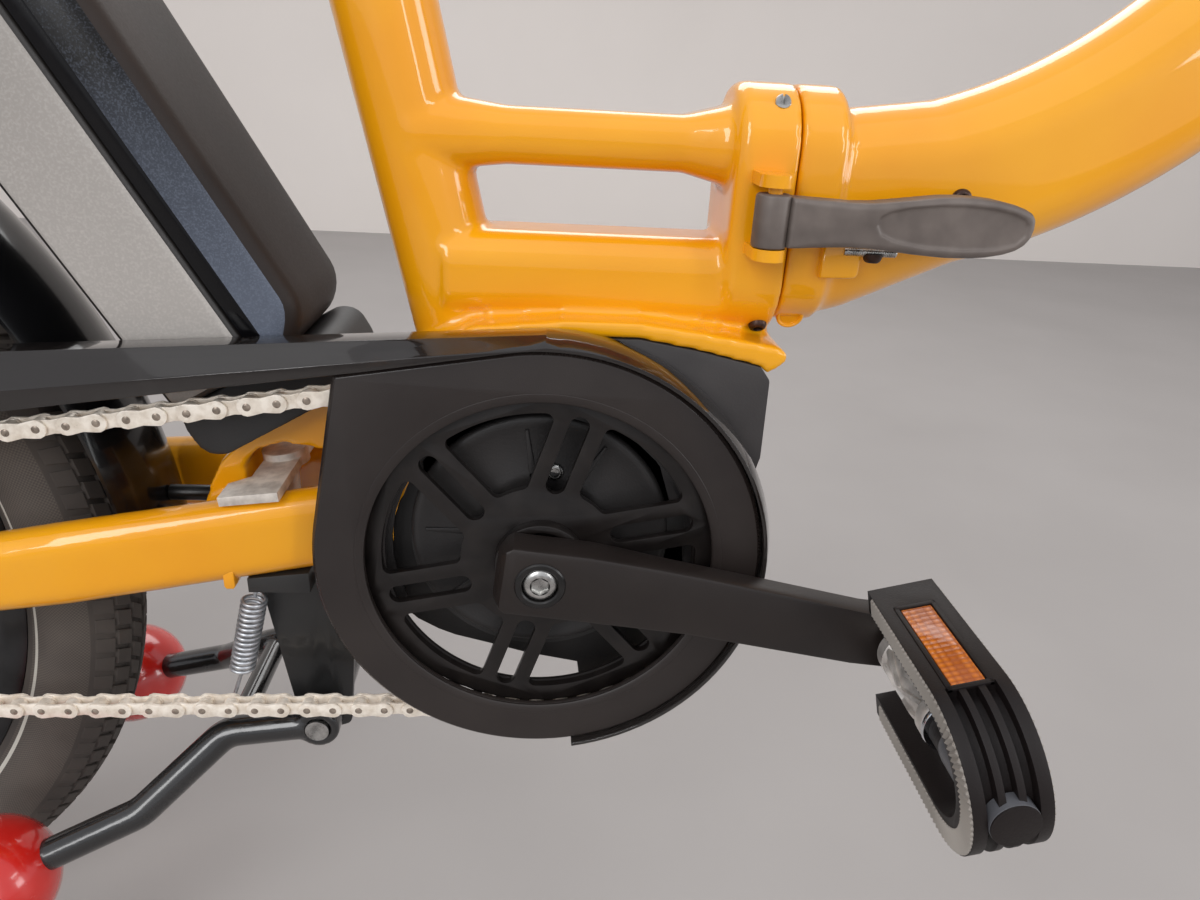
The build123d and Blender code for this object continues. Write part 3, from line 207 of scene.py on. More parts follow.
def grain(place, size, detail=3.0):
    """Noise with spots of about size, in metres, from 0 to 1."""
    values = {"Vector": place, "Scale": 1 / size, "Detail": detail}
    return Link.node(place.tree, "ShaderNodeTexNoise", {}, values)


def feed(shader, socket, value):
    """Lead a link to one of the shader's sockets."""
    value.tree.links.new(value.socket, shader.inputs[socket])


def painted(name, low_color, high_color, roughness, spot_size):
    """Wall or floor paint, with faint large spots."""
    material, shader, tree = finish(name, high_color, roughness)
    spots = grain(place_in(tree), spot_size)
    feed(shader, "Base Color", between(spots, low_color, high_color))
    return material


def backdrop(name, corners, material):
    """One flat sheet of the room."""
    mesh = bpy.data.meshes.new(name)
    mesh.from_pydata(corners, [], [(0, 1, 2, 3)])
    mesh.materials.append(material)
    return in_scene(name, mesh)


floor_height = cad_low.z - 0.0005
wall_distance = 2.6
room_half = 6.0
room_height = 4.0
daylight_color = (0.93, 0.95, 1.0, 1.0)
daylight_strength = 0.76

floor_finish = painted("floor_paint", linear(152, 147, 144), linear(164, 159, 156), 0.55, 0.25)
wall_finish = painted("wall_paint", linear(226, 218, 211), linear(234, 226, 219), 0.8, 0.4)
floor_corners = [
    (-room_half, -room_half, floor_height), (room_half, -room_half, floor_height),
    (room_half, wall_distance, floor_height), (-room_half, wall_distance, floor_height)]
wall_corners = [
    (-room_half, wall_distance, floor_height), (room_half, wall_distance, floor_height),
    (room_half, wall_distance, room_height), (-room_half, wall_distance, room_height)]
floor = backdrop("floor", floor_corners, floor_finish)
wall = backdrop("wall", wall_corners, wall_finish)
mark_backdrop(floor, wall)

world = bpy.data.worlds.new("daylight")
world.use_nodes = True
world.node_tree.nodes["Background"].inputs["Color"].default_value = daylight_color
world.node_tree.nodes["Background"].inputs["Strength"].default_value = daylight_strength
bpy.context.scene.world = world

lamp_table = [
    # name, place, target, width, height, power in watts
    ("lamp_roof", (0.1, -1.1, 2.0), (0.0, 0.0, -0.4), 3.4, 2.4, 10.0),
    ("lamp_window_right", (1.5, -1.6, 0.7), (0.0, 0.0, -0.35), 0.22, 1.6, 7.5),
    ("lamp_window_left", (-0.9, -1.7, 0.8), (0.0, 0.0, -0.35), 0.6, 1.5, 19.0),
    ("lamp_side", (2.2, -0.4, 0.1), (0.1, 0.0, -0.35), 0.5, 1.0, 9.0),
    ("lamp_back", (0.2, 1.6, 1.2), (0.0, 0.0, -0.4), 1.8, 1.0, 19.0),
]
for name, place, target, width, height, power in lamp_table:
    light = bpy.data.lights.new(name, "AREA")
    light.shape = "RECTANGLE"
    light.size = width
    light.size_y = height
    light.energy = power
    lamp = in_scene(name, light)
    lamp.visible_camera = False
    aim = (Vector(target) - Vector(place)).to_track_quat("-Z", "Y")
    lamp.matrix_world = Matrix.Translation(place) @ aim.to_matrix().to_4x4()


# Rear half of the frame
# Aluminium seat tube, bridges, rear plate of the folding joint, motor bracket, battery yoke and
# chainstays, joined by filed welds. Powder coated a glossy orange yellow under a clear coat.
paint_dark = linear(234, 154, 4)
paint_light = linear(240, 166, 12)
paint_peel_size = 0.0035
paint_peel_height = 0.00003
weld_voxel = 0.0018
weld_rounds = 5

crank_low, crank_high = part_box("crank_spindle")
crank_x = (crank_low.x + crank_high.x) / 2
crank_z = (crank_low.z + crank_high.z) / 2
mm = 0.001


def at(x, y, z):
    """A point given in millimetres from the crank axle's centre: forward, left and up."""
    return Vector((crank_x + x * mm, y * mm, crank_z + z * mm))


def add_piece(name, mesh, body, materials, smooth=40.0):
    """Make a mesh into a piece that rides on a body, with edges under smooth degrees shaded soft."""
    mesh.name = name
    mesh.materials.clear()
    for material in materials:
        mesh.materials.append(material)
    bm = bmesh.new()
    bm.from_mesh(mesh)
    for face in bm.faces:
        face.smooth = True
    for edge in bm.edges:
        edge.smooth = len(edge.link_faces) != 2 or edge.calc_face_angle(0.0) < math.radians(smooth)
    bm.to_mesh(mesh)
    bm.free()
    piece = in_scene(name, mesh)
    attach(piece, body)
    return piece


def carry_over(node, material):
    """Give its finish to a CAD node that stays in view."""
    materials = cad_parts[node].data.materials
    materials.clear()
    materials.append(material)


def baked(piece):
    """The piece's mesh with its modifiers applied, and the piece removed."""
    evaluated = piece.evaluated_get(bpy.context.evaluated_depsgraph_get())
    mesh = bpy.data.meshes.new_from_object(evaluated)
    bpy.data.objects.remove(piece)
    return mesh


def joined_copy(nodes):
    """Merged copies of CAD nodes in one object."""
    bm = bmesh.new()
    for node in nodes:
        part = bmesh.new()
        part.from_mesh(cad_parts[node].data)
        bmesh.ops.remove_doubles(part, verts=part.verts, dist=1e-6)
        copy = bpy.data.meshes.new(node + "_copy")
        part.to_mesh(copy)
        part.free()
        bm.from_mesh(copy)
    mesh = bpy.data.meshes.new("copy")
    bm.to_mesh(mesh)
    bm.free()
    return in_scene("copy", mesh)


def skinned(piece, voxel, rounds):
    """One even skin over everything in a piece, smoothed so that inner corners fill."""
    skin = piece.modifiers.new("skin", "REMESH")
    skin.mode = "VOXEL"
    skin.voxel_size = voxel
    ease = piece.modifiers.new("ease", "SMOOTH")
    ease.factor = 0.5
    ease.iterations = rounds
    return baked(piece)


def welded(nodes, voxel=weld_voxel, rounds=weld_rounds):
    """One skin over several CAD nodes, whose joints turn into filed welds."""
    return skinned(joined_copy(nodes), voxel, rounds)


def bumped(shader, height, distance):
    """Raise the surface by height times distance, in metres."""
    values = {"Height": height, "Distance": distance}
    feed(shader, "Normal", Link.node(height.tree, "ShaderNodeBump", {}, values))


frame_finish, frame_shader, frame_tree = finish(
    "frame_paint", paint_light, 0.32, coat_weight=1.0, coat_roughness=0.04, specular_ior_level=0.2)
frame_place = place_in(frame_tree)
paint_clouds = grain(frame_place, 0.09)
feed(frame_shader, "Base Color", between(paint_clouds.ramp(0.35, 0.65), paint_dark, paint_light))
feed(frame_shader, "Roughness", grain(frame_place, 0.02).ramp(0.3, 0.7, 0.28, 0.36))
bumped(frame_shader, grain(frame_place, paint_peel_size, 1.0), paint_peel_height)

rear_frame_nodes = [
    "seat_tube", "upper_bridge", "lower_bridge", "hinge_plate_rear", "motor_cradle", "battery_tray",
    "chainstay_right", "chainstay_left", "stay_bridge", "dropout_right", "dropout_left"]
rear_frame = add_piece(
    "rear_frame_welded", welded(rear_frame_nodes), "rear_frame", [frame_finish],
    smooth=60.0)
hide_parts(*rear_frame_nodes)
carry_over("lever_lug", frame_finish)


# Front half of the frame
# The front plate of the folding joint, the curved main tube and the head tube, all aluminium.
# They are welded, and their welds are filed as smooth as the tubes. Same yellow powder coat.
front_frame_nodes = ["hinge_plate_front", "main_tube", "head_tube"]
front_frame = add_piece(
    "front_frame_welded", welded(front_frame_nodes), "front_frame", [frame_finish],
    smooth=60.0)
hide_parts(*front_frame_nodes)


# Pin and screws of the folding joint
# A steel pin joins the plates on the left, and a slotted steel pin end shows on the right. Dark
# button-head screws stop the rear plate, lock the lever's rod and close a port in the main tube.
steel_light = linear(206, 205, 202)
steel_dark = linear(150, 149, 147)
screw_light = linear(70, 68, 66)
screw_dark = linear(44, 42, 42)
screw_head_height = 3.2
hex_share = 0.55  # the socket's radius as a share of the head's


def meshed(bm):
    """A mesh made from a bmesh, with its faces turned outwards."""
    bmesh.ops.recalc_face_normals(bm, faces=bm.faces[:])
    mesh = bpy.data.meshes.new("mesh")
    bm.to_mesh(mesh)
    bm.free()
    return mesh


def lofted(rings, wrap=True, lids=(0, -1)):
    """A skin over rings of points, one after the other, with a lid on each ring that lids names."""
    bm = bmesh.new()
    rows = [[bm.verts.new(point) for point in ring] for ring in rings]
    count = len(rows[0])
    for low, high in zip(rows, rows[1:]):
        for step in range(count if wrap else count - 1):
            after = (step + 1) % count
            bm.faces.new((low[step], low[after], high[after], high[step]))
    for lid in lids:
        bm.faces.new(rows[lid])
    return meshed(bm)


def turned(section, place, axis=(0, 1, 0), steps=48, closed=False):
    """A turned piece. section holds (radius, height along the axis) in millimetres."""
    upright = Vector(axis).to_track_quat("Z", "X").to_matrix()
    bm = bmesh.new()
    rings = []
    for radius, height in section:
        count = steps if radius > 0 else 1
        ring = []
        for step in range(count):
            angle = 2 * math.pi * step / steps
            flat = Vector((radius * math.cos(angle), radius * math.sin(angle), height)) * mm
            ring.append(bm.verts.new(place + upright @ flat))
        rings.append(ring)
    pairs = list(zip(rings, rings[1:]))
    if closed:
        pairs.append((rings[-1], rings[0]))
    for low, high in pairs:
        for step in range(steps):
            after = (step + 1) % steps
            corners = []
            for ring, number in ((low, step), (low, after), (high, after), (high, step)):
                corner = ring[number % len(ring)]
                if corner not in corners:
                    corners.append(corner)
            if len(corners) > 2:
                bm.faces.new(corners)
    return meshed(bm)


def gathered(meshes):
    """Several meshes in one, with their material numbers kept."""
    bm = bmesh.new()
    for mesh in meshes:
        bm.from_mesh(mesh)
    whole = bpy.data.meshes.new("mesh")
    bm.to_mesh(whole)
    bm.free()
    return whole


def outline_slab(points, y_low, y_high, rim=0.0):
    """A closed outline of (x, z) in millimetres with thickness, its right edge rounded by rim."""
    rows = [(y_high, 0.0), (y_low, 0.0)]
    if rim:
        rows = [(y_high, 0.0), (y_low + rim, 0.0), (y_low + 0.3 * rim, 0.3 * rim), (y_low, rim)]
    neighbours = list(zip(points[-1:] + points[:-1], points, points[1:] + points[:1]))
    area = sum(before[0] * point[1] - point[0] * before[1] for before, point, after in neighbours)
    inward = 1.0 if area > 0 else -1.0
    rings = []
    for y, inset in rows:
        ring = []
        for before, (x, z), after in neighbours:
            way = Vector((after[0] - before[0], after[1] - before[1])).normalized()
            ring.append(at(x - way.y * inset * inward, y, z + way.x * inset * inward))
        rings.append(ring)
    return lofted(rings)


def screw(place, axis, radius, height=screw_head_height, sides=6):
    """A button-head screw with a hexagonal socket, standing on place and looking along axis."""
    head = turned([
        (radius, -0.4), (radius, height * 0.35), (radius * 0.86, height * 0.8),
        (radius * 0.66, height), (radius * hex_share, height)],
        place, axis, steps=32)
    socket = turned([
        (radius * hex_share, height), (radius * hex_share * 0.96, height - 0.3),
        (radius * hex_share * 0.9, height * 0.2), (0, height * 0.2)],
        place, axis, steps=sides)
    return gathered([head, socket])


def metal(name, low_color, high_color, rough, metallic, spot, scratch=0.0):
    """A metal whose colour and roughness drift over spots, with tool marks scratch metres deep."""
    material, shader, tree = finish(name, high_color, rough[0], metallic)
    place = place_in(tree)
    clouds = grain(place, spot)
    feed(shader, "Base Color", between(clouds.ramp(0.35, 0.65), low_color, high_color))
    marks = grain(place_in(tree, (1.0, 0.15, 1.0)), spot * 0.12, 2.0)
    feed(shader, "Roughness", (clouds * 0.6 + marks * 0.4).ramp(0.3, 0.7, *rough))
    if scratch:
        bumped(shader, marks, scratch)
    return material


bright_steel = metal(
    "bright_steel", steel_dark, steel_light, rough=(0.22, 0.38), metallic=1.0, spot=0.006,
    scratch=0.00002)
dark_screw = metal(
    "dark_screw", screw_dark, screw_light, rough=(0.3, 0.45), metallic=0.8, spot=0.004)
brown_screw = metal(
    "brown_screw", linear(46, 30, 24), linear(66, 46, 38), rough=(0.3, 0.45), metallic=0.6,
    spot=0.004)

pin_x = 105.0
pin_y = 40.0
pin_low, pin_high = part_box("hinge_pin")
pin_foot = (pin_low.z - crank_z) / mm
pin_top = (pin_high.z - crank_z) / mm
pin_radius = (pin_high.x - pin_low.x) / 2 / mm
pin_mesh = turned([
    (0, pin_foot), (pin_radius - 0.6, pin_foot), (pin_radius, pin_foot + 0.6),
    (pin_radius, pin_top - 0.6), (pin_radius - 0.6, pin_top), (pin_radius * 0.5, pin_top),
    (0, pin_top - 1.2)], at(pin_x, pin_y, 0), (0, 0, 1))
pin = add_piece("fold_pin", pin_mesh, "rear_frame", [bright_steel])
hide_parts("hinge_pin")


def seat_on(mesh, x, z):
    """Where a line from the bicycle's right first meets a mesh: the place and its outward way."""
    corners = [vertex.co for vertex in mesh.vertices]
    sides = [tuple(face.vertices) for face in mesh.polygons]
    surface = BVHTree.FromPolygons(corners, sides)
    hit, way, number, distance = surface.ray_cast(at(x, -100, z), Vector((0, 1, 0)))
    return hit, way


slot_half = 0.55
pin_end_spot = (96.2, 202.1)
pin_end_radius = 3.3
pin_end_steps = 17
pin_end_place, pin_end_way = seat_on(rear_frame.data, *pin_end_spot)
pin_end_parts = [turned([
    (0, 0.3), (pin_end_radius, 0.3), (pin_end_radius, -0.8), (0, -0.8)],
    pin_end_place, pin_end_way, steps=32)]
for sign in (-1, 1):
    rings = []
    for height, inset in ((-0.8, 0.0), (1.0, 0.0), (1.3, 0.3)):
        ring = []
        for step in range(pin_end_steps):
            angle = math.radians(-80 + 160 * step / (pin_end_steps - 1))
            reach = pin_end_radius - inset
            across = sign * max(reach * math.cos(angle), slot_half)
            ring.append(pin_end_place + Vector((across, -height, reach * math.sin(angle))) * mm)
        rings.append(ring)
    pin_end_parts.append(lofted(rings))
add_piece(
    "slotted_pin_end", gathered(pin_end_parts), "rear_frame", [bright_steel], smooth=30.0)

stop_spot = (98.2, 106.5)
stop_place, stop_way = seat_on(rear_frame.data, *stop_spot)
add_piece(
    "rear_plate_stop", screw(stop_place, stop_way, radius=4.2, height=2.6), "rear_frame",
    [brown_screw])

# The front plate carries a spot-faced boss below, and a lug at the lever's underside that holds
# the lever's threaded rod and its lock screw. One more screw closes a port in the main tube.
boss_tilt = Vector((0.0, -1.6, 0.0))
boss_spot = (113.6, 110.5)
boss_place, boss_way = seat_on(front_frame.data, *boss_spot)
spot_boss = turned([
    (0, -3.0), (6.4, -3.0), (6.4, 0.5), (5.9, 1.0), (5.3, 1.0), (4.9, 0.6), (4.6, -0.5), (0, -0.5)],
    boss_place, (boss_way + boss_tilt).normalized(), steps=40)
catch_lug = outline_slab([
    (119.0, 132.0), (133.0, 132.0), (135.2, 132.6), (136.2, 134.5), (136.2, 145.5), (135.0, 147.5),
    (119.0, 147.5)], -34.5, -18.0, rim=1.4)
add_piece(
    "front_plate_lug", gathered([spot_boss, catch_lug]), "front_frame",
    [frame_finish], smooth=50.0)

rod_y = -34.0
rod_radius = 1.6
thread_radius = 1.95
thread_turns = 22
rod_section = [(0, -6.0), (rod_radius, -6.0)]
for thread in range(thread_turns):
    rod_section += [(rod_radius, -5.0 + thread), (thread_radius, -4.5 + thread)]
rod_section += [(rod_radius, 17.2), (0, 17.2)]
add_piece(
    "lever_threaded_rod", turned(rod_section, at(134, rod_y, 144.0), (1, 0, 0), steps=20),
    "front_frame", [bright_steel], smooth=30.0)
port_spot = (179.5, 167.0)
port_place, port_way = seat_on(front_frame.data, *port_spot)
front_screws = gathered([
    screw(at(141.0, rod_y, 143.4), (0, 0, -1), radius=4.2, height=3.6),
    screw(port_place, port_way, radius=4.6, height=2.6)])
add_piece("front_plate_screws", front_screws, "front_frame", [brown_screw])


# Lever of the folding joint
# A forged aluminium lever with a soft, rounded outline and a hollow thumb rest on its outer face.
# It is coated a satin grey-brown, and its round eye turns on a pin in a fork on the rear plate.
lever_dark = linear(86, 77, 72)
lever_light = linear(110, 100, 94)
lever_voxel = 0.0006
lever_face_y = -50.5
lever_back_y = -37.6
lever_eye_x = 91.6
lever_eye_y = -44.0
thumb_rest_depth = 0.9
lever_outline = [
    # x, z
    (98.0, 167.0), (113.4, 166.5), (124.0, 166.0), (133.0, 166.2), (143.0, 167.4), (152.4, 168.6),
    (160.7, 169.7), (169.2, 170.2), (177.0, 170.1), (185.0, 169.4), (191.4, 168.2), (196.5, 166.7),
    (200.0, 165.0), (201.8, 162.6), (202.2, 158.8), (201.4, 154.8), (199.3, 151.7), (196.0, 149.4),
    (191.0, 147.6), (184.0, 146.2), (177.0, 145.5), (166.0, 145.3), (152.6, 146.1), (143.0, 147.0),
    (134.0, 147.7), (125.0, 147.9), (116.4, 147.6), (107.0, 147.0), (98.0, 146.5)]
thumb_rest_outline = [
    (134.3, 157.6), (135.1, 161.1), (139.0, 163.3), (148.0, 165.4), (160.5, 166.8), (171.0, 167.1),
    (182.3, 166.4), (191.3, 164.9), (196.6, 163.0), (198.7, 160.4), (198.6, 155.6), (195.0, 151.8),
    (186.5, 149.6), (173.4, 148.7), (155.7, 149.3), (143.0, 151.2), (136.5, 153.8)]

lever_finish = metal(
    "lever_coat", lever_dark, lever_light, rough=(0.4, 0.52), metallic=0.15, spot=0.02,
    scratch=0.00003)


def hollowed(mesh, cutter_mesh):
    """The mesh with the cutter's shape taken out of it."""
    piece = in_scene("whole", mesh)
    cutter = in_scene("cutter", cutter_mesh)
    cut = piece.modifiers.new("cut", "BOOLEAN")
    cut.operation = "DIFFERENCE"
    cut.solver = "EXACT"
    cut.object = cutter
    whole = baked(piece)
    bpy.data.objects.remove(cutter)
    return whole


blade = hollowed(
    outline_slab(lever_outline, lever_face_y, lever_back_y, rim=2.2),
    outline_slab(thumb_rest_outline, lever_face_y - 2.0, lever_face_y + thumb_rest_depth))
eye = turned([
    (0, 145.9), (6.4, 145.9), (7.2, 146.5), (7.4, 147.4), (7.4, 166.2), (7.2, 167.1), (6.4, 167.7),
    (0, 167.7)],
    at(lever_eye_x, lever_eye_y, 0), (0, 0, 1), steps=48)
lever_meshes = [skinned(in_scene("lever_blade", blade), lever_voxel, 4), eye]
lever = add_piece(
    "hinge_lever_forged", gathered(lever_meshes), "fold_lever", [lever_finish])
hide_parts("hinge_lever")


# Seat clamp
# A split aluminium collar round the seat tube's mouth, turned and then milled through, with a
# cross bolt through its two ears. Anodised black.
clamp_finish = metal(
    "clamp_coat", linear(30, 29, 29), linear(42, 41, 40), rough=(0.32, 0.45), metallic=0.3,
    spot=0.01, scratch=0.00001)
clamp = add_piece(
    "seat_clamp_collar", welded(["seat_clamp"], voxel=0.0009, rounds=3), "rear_frame",
    [clamp_finish])
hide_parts("seat_clamp")


# Motor
# A die-cast aluminium housing under the bracket, sprayed matt black. Its right side is closed by
# a round, grained plastic dome with broad ribs, on a flange that the chain runs round.
motor_dark = linear(44, 41, 41)
motor_light = linear(62, 58, 57)
motor_seat_y = -42.7
cover_x = 0.0
cover_z = 7.0
cover_rib_count = 9
web_first = -25.0
web_last = 204.0
web_steps = 24
shell_outline = [
    # x, z
    (-70.0, 12.0), (-72.5, -8.0), (-71.0, -26.0), (-67.0, -37.0), (-60.0, -44.0), (-50.0, -50.0),
    (-41.7, -53.6), (-24.2, -58.6), (-5.1, -64.4), (20.5, -69.7), (22.0, -80.0), (35.0, -78.0),
    (50.0, -70.0), (64.0, -56.0), (74.0, -36.0), (70.0, 0.0), (50.0, 60.0), (10.0, 74.0),
    (-30.0, 68.0), (-58.0, 44.0)]


def bevelled(nodes, width, segments=2, angle=30.0):
    """A copy of CAD nodes with rounded edges."""
    piece = joined_copy(nodes)
    bm = bmesh.new()
    bm.from_mesh(piece.data)
    bmesh.ops.dissolve_limit(bm, angle_limit=math.radians(1.0), verts=bm.verts[:], edges=bm.edges[:])
    bm.to_mesh(piece.data)
    bm.free()
    edge = piece.modifiers.new("edge", "BEVEL")
    edge.width = width
    edge.segments = segments
    edge.limit_method = "ANGLE"
    edge.angle_limit = math.radians(angle)
    edge.harden_normals = False
    return baked(piece)


def moulded(
        name, low_color, high_color, rough, grain_size, grain_height, coat=0.0, metallic=0.0,
        shine=0.5):
    """Moulded plastic or sprayed metal: slow drifts of colour and a fine leathery grain."""
    material, shader, tree = finish(
        name, high_color, rough, metallic, coat_weight=coat, coat_roughness=0.08,
        specular_ior_level=shine)
    place = place_in(tree)
    clouds = grain(place, 0.05)
    feed(shader, "Base Color", between(clouds.ramp(0.3, 0.7), low_color, high_color))
    fine = grain(place, grain_size, 2.0)
    feed(shader, "Roughness", (clouds * 0.5 + fine * 0.5).ramp(0.3, 0.7, rough - 0.05, rough + 0.07))
    bumped(shader, fine, grain_height)
    return material


motor_finish = moulded(
    "motor_coat", motor_dark, motor_light, rough=0.55, grain_size=0.0009, grain_height=0.00006)
carrier_finish = moulded(
    "carrier_coat", linear(34, 33, 33), linear(46, 44, 43), rough=0.5, grain_size=0.0008,
    grain_height=0.00004)
shell_coat = moulded(
    "shell_coat", linear(17, 15, 15), linear(26, 24, 23), rough=0.5, grain_size=0.001,
    grain_height=0.00005)
cover_finish = moulded(
    "cover_grain", linear(30, 28, 28), linear(44, 41, 40), rough=0.46, grain_size=0.0012,
    grain_height=0.0001)

motor = add_piece(
    "motor_casting", bevelled(["motor_housing"], width=0.0022), "rear_frame",
    [motor_finish], smooth=50.0)
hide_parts("motor_housing")
carrier = add_piece(
    "guard_carrier_plate", bevelled(["guard_carrier"], width=0.0005), "rear_frame",
    [carrier_finish])
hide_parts("guard_carrier")


def repeated(name, part, places, material, scale=1.0):
    """Copies of one small mesh, by Geometry Nodes: places holds (point, turn about the y axis)."""
    stock = in_scene(name + "_stock", part)
    points = bpy.data.meshes.new(name)
    points.from_pydata([place for place, turn in places], [], [])
    turns = points.attributes.new("turn", "FLOAT", "POINT")
    for number, (place, turn) in enumerate(places):
        turns.data[number].value = turn
    piece = in_scene(name, points)
    tree = bpy.data.node_groups.new("repeat_" + name, "GeometryNodeTree")
    sockets = tree.interface
    sockets.new_socket("Points", in_out="INPUT", socket_type="NodeSocketGeometry")
    part_socket = sockets.new_socket("Part", in_out="INPUT", socket_type="NodeSocketObject")
    size_socket = sockets.new_socket("Size", in_out="INPUT", socket_type="NodeSocketFloat")
    finish_socket = sockets.new_socket("Finish", in_out="INPUT", socket_type="NodeSocketMaterial")
    sockets.new_socket("Pieces", in_out="OUTPUT", socket_type="NodeSocketGeometry")
    given = tree.nodes.new("NodeGroupInput")
    result = tree.nodes.new("NodeGroupOutput")
    fetch = tree.nodes.new("GeometryNodeObjectInfo")
    fetch.transform_space = "ORIGINAL"
    to_points = tree.nodes.new("GeometryNodeMeshToPoints")
    angle = tree.nodes.new("GeometryNodeInputNamedAttribute")
    angle.data_type = "FLOAT"
    angle.inputs["Name"].default_value = "turn"
    euler = tree.nodes.new("ShaderNodeCombineXYZ")
    spin = tree.nodes.new("FunctionNodeEulerToRotation")
    place_copies = tree.nodes.new("GeometryNodeInstanceOnPoints")
    real = tree.nodes.new("GeometryNodeRealizeInstances")
    dress = tree.nodes.new("GeometryNodeSetMaterial")
    links = tree.links
    links.new(given.outputs["Part"], fetch.inputs["Object"])
    links.new(given.outputs["Points"], to_points.inputs["Mesh"])
    links.new(angle.outputs["Attribute"], euler.inputs["Y"])
    links.new(euler.outputs["Vector"], spin.inputs["Euler"])
    links.new(to_points.outputs["Points"], place_copies.inputs["Points"])
    links.new(fetch.outputs["Geometry"], place_copies.inputs["Instance"])
    links.new(spin.outputs["Rotation"], place_copies.inputs["Rotation"])
    links.new(given.outputs["Size"], place_copies.inputs["Scale"])
    links.new(place_copies.outputs["Instances"], real.inputs["Geometry"])
    links.new(real.outputs["Geometry"], dress.inputs["Geometry"])
    links.new(given.outputs["Finish"], dress.inputs["Material"])
    links.new(dress.outputs["Geometry"], result.inputs["Pieces"])
    repeat = piece.modifiers.new("repeat", "NODES")
    repeat.node_group = tree
    repeat[part_socket.identifier] = stock
    repeat[size_socket.identifier] = scale
    repeat[finish_socket.identifier] = material
    mesh = baked(piece)
    bpy.data.objects.remove(stock)
    return mesh


def round_places(count, x, y, z, first=0.0, sweep=360.0):
    """Places round a centre, each turned to look outwards."""
    places = []
    for number in range(count):
        angle = math.radians(first + sweep * number / count)
        places.append((at(x, y, z), -angle))
    return places


def loose_slab(points, y_low, y_high, rim=0.0):
    """An outline with thickness whose points are counted from the world's origin."""
    mesh = outline_slab(points, y_low, y_high, rim=rim)
    mesh.transform(Matrix.Translation(-at(0, 0, 0)))
    return mesh


motor_dome = turned([
    (61.0, -2.0), (61.0, -0.6), (60.2, 0.5), (58.8, 1.1), (56.6, 1.2), (54.6, 0.2), (42.0, 0.6),
    (34.0, 0.9), (32.6, 1.3), (29.4, 1.3), (28.0, 0.9), (0.0, 1.0)],
    at(cover_x, motor_seat_y, cover_z), (0, -1, 0), steps=96)
cover_rib = loose_slab(
    [(30.0, -1.9), (54.0, -0.7), (54.0, 0.7), (30.0, 1.9)], -1.3, 0.2, rim=0.4)
cover_ribs = repeated(
    "motor_cover_ribs", cover_rib,
    round_places(cover_rib_count, cover_x, motor_seat_y, cover_z, 18.0), cover_finish)
motor_cover = gathered([motor_dome, cover_ribs])
add_piece("motor_cover_face", motor_cover, "rear_frame", [cover_finish])
lower_shell = outline_slab(shell_outline, -40.0, -20.0, rim=1.0)
add_piece("motor_lower_shell", lower_shell, "rear_frame", [shell_coat])

# The motor's left side has a plain round lid with short ribs, held by six button-head screws.
lid_seat_y = 40.0
lid_radius = 44.0
lid_rib_count = 18
lid_screw_count = 6
lid_screw_reach = 48.0
lid_turn = 15.0
lid_disc = turned([
    (lid_radius, -2.0), (lid_radius, 0.2), (lid_radius - 0.8, 1.4), (lid_radius - 2.6, 2.0),
    (29.6, 2.2), (28.0, 3.4), (21.0, 3.4), (19.6, 2.4), (0.0, 2.4)],
    at(0, lid_seat_y, 0), (0, 1, 0), steps=96)
lid_rib = loose_slab([(28.5, -0.9), (40.0, -0.6), (40.0, 0.6), (28.5, 0.9)], 1.6, 3.2)
lid_ribs = repeated(
    "motor_lid_ribs", lid_rib, round_places(lid_rib_count, 0, lid_seat_y, 0, lid_turn),
    cover_finish)
motor_lid = gathered([lid_disc, lid_ribs])
add_piece("motor_left_lid", motor_lid, "rear_frame", [cover_finish])
lid_screws = []
for number in range(lid_screw_count):
    angle = math.radians(lid_turn + 360.0 * number / lid_screw_count)
    seat = at(lid_screw_reach * math.cos(angle), lid_seat_y, lid_screw_reach * math.sin(angle))
    lid_screws.append(screw(seat, (0, 1, 0), radius=3.0, height=2.2))
add_piece("motor_lid_screws", gathered(lid_screws), "rear_frame", [dark_screw])

# A curved web behind the chain ring closes the guard's back from the front round to the stays.
web_points = []
for radius, first, last in ((82.5, web_first, web_last), (70.0, web_last, web_first)):
    for step in range(web_steps + 1):
        angle = math.radians(first + (last - first) * step / web_steps)
        web_points.append((radius * math.cos(angle), radius * math.sin(angle)))
web = outline_slab(web_points, -43.2, -41.8)
add_piece("guard_back_web", web, "rear_frame", [cover_finish])
silver_screw = screw(at(5.6, motor_seat_y - 0.7, 40.2), (0, -1, 0), radius=4.3, height=2.0)
add_piece("motor_screw", silver_screw, "rear_frame", [bright_steel])


# Chain ring, spider and lockring
# A toothed steel ring under a forged spider with six pairs of arms, blacked all over. The lockring
# holds it on the motor's spindle, which is a plain dark steel shaft.
ring_dark = linear(21, 17, 16)
ring_light = linear(31, 26, 24)
edge_width = 0.0006

ring_finish = metal(
    "blacked_steel", ring_dark, ring_light, rough=(0.3, 0.44), metallic=0.2, spot=0.012,
    scratch=0.00002)
shaft_finish = metal(
    "shaft_steel", linear(52, 50, 49), linear(78, 75, 72), rough=(0.28, 0.42), metallic=0.8,
    spot=0.008, scratch=0.00001)
ring = add_piece(
    "chain_ring_forged", bevelled(["chain_ring"], width=edge_width, segments=2, angle=40.0),
    "crankset", [ring_finish], smooth=35.0)
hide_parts("chain_ring")
lockring = add_piece(
    "lockring_forged", bevelled(["spider_lockring"], width=0.0008), "crankset",
    [ring_finish])
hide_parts("spider_lockring")
carry_over("crank_spindle", shaft_finish)


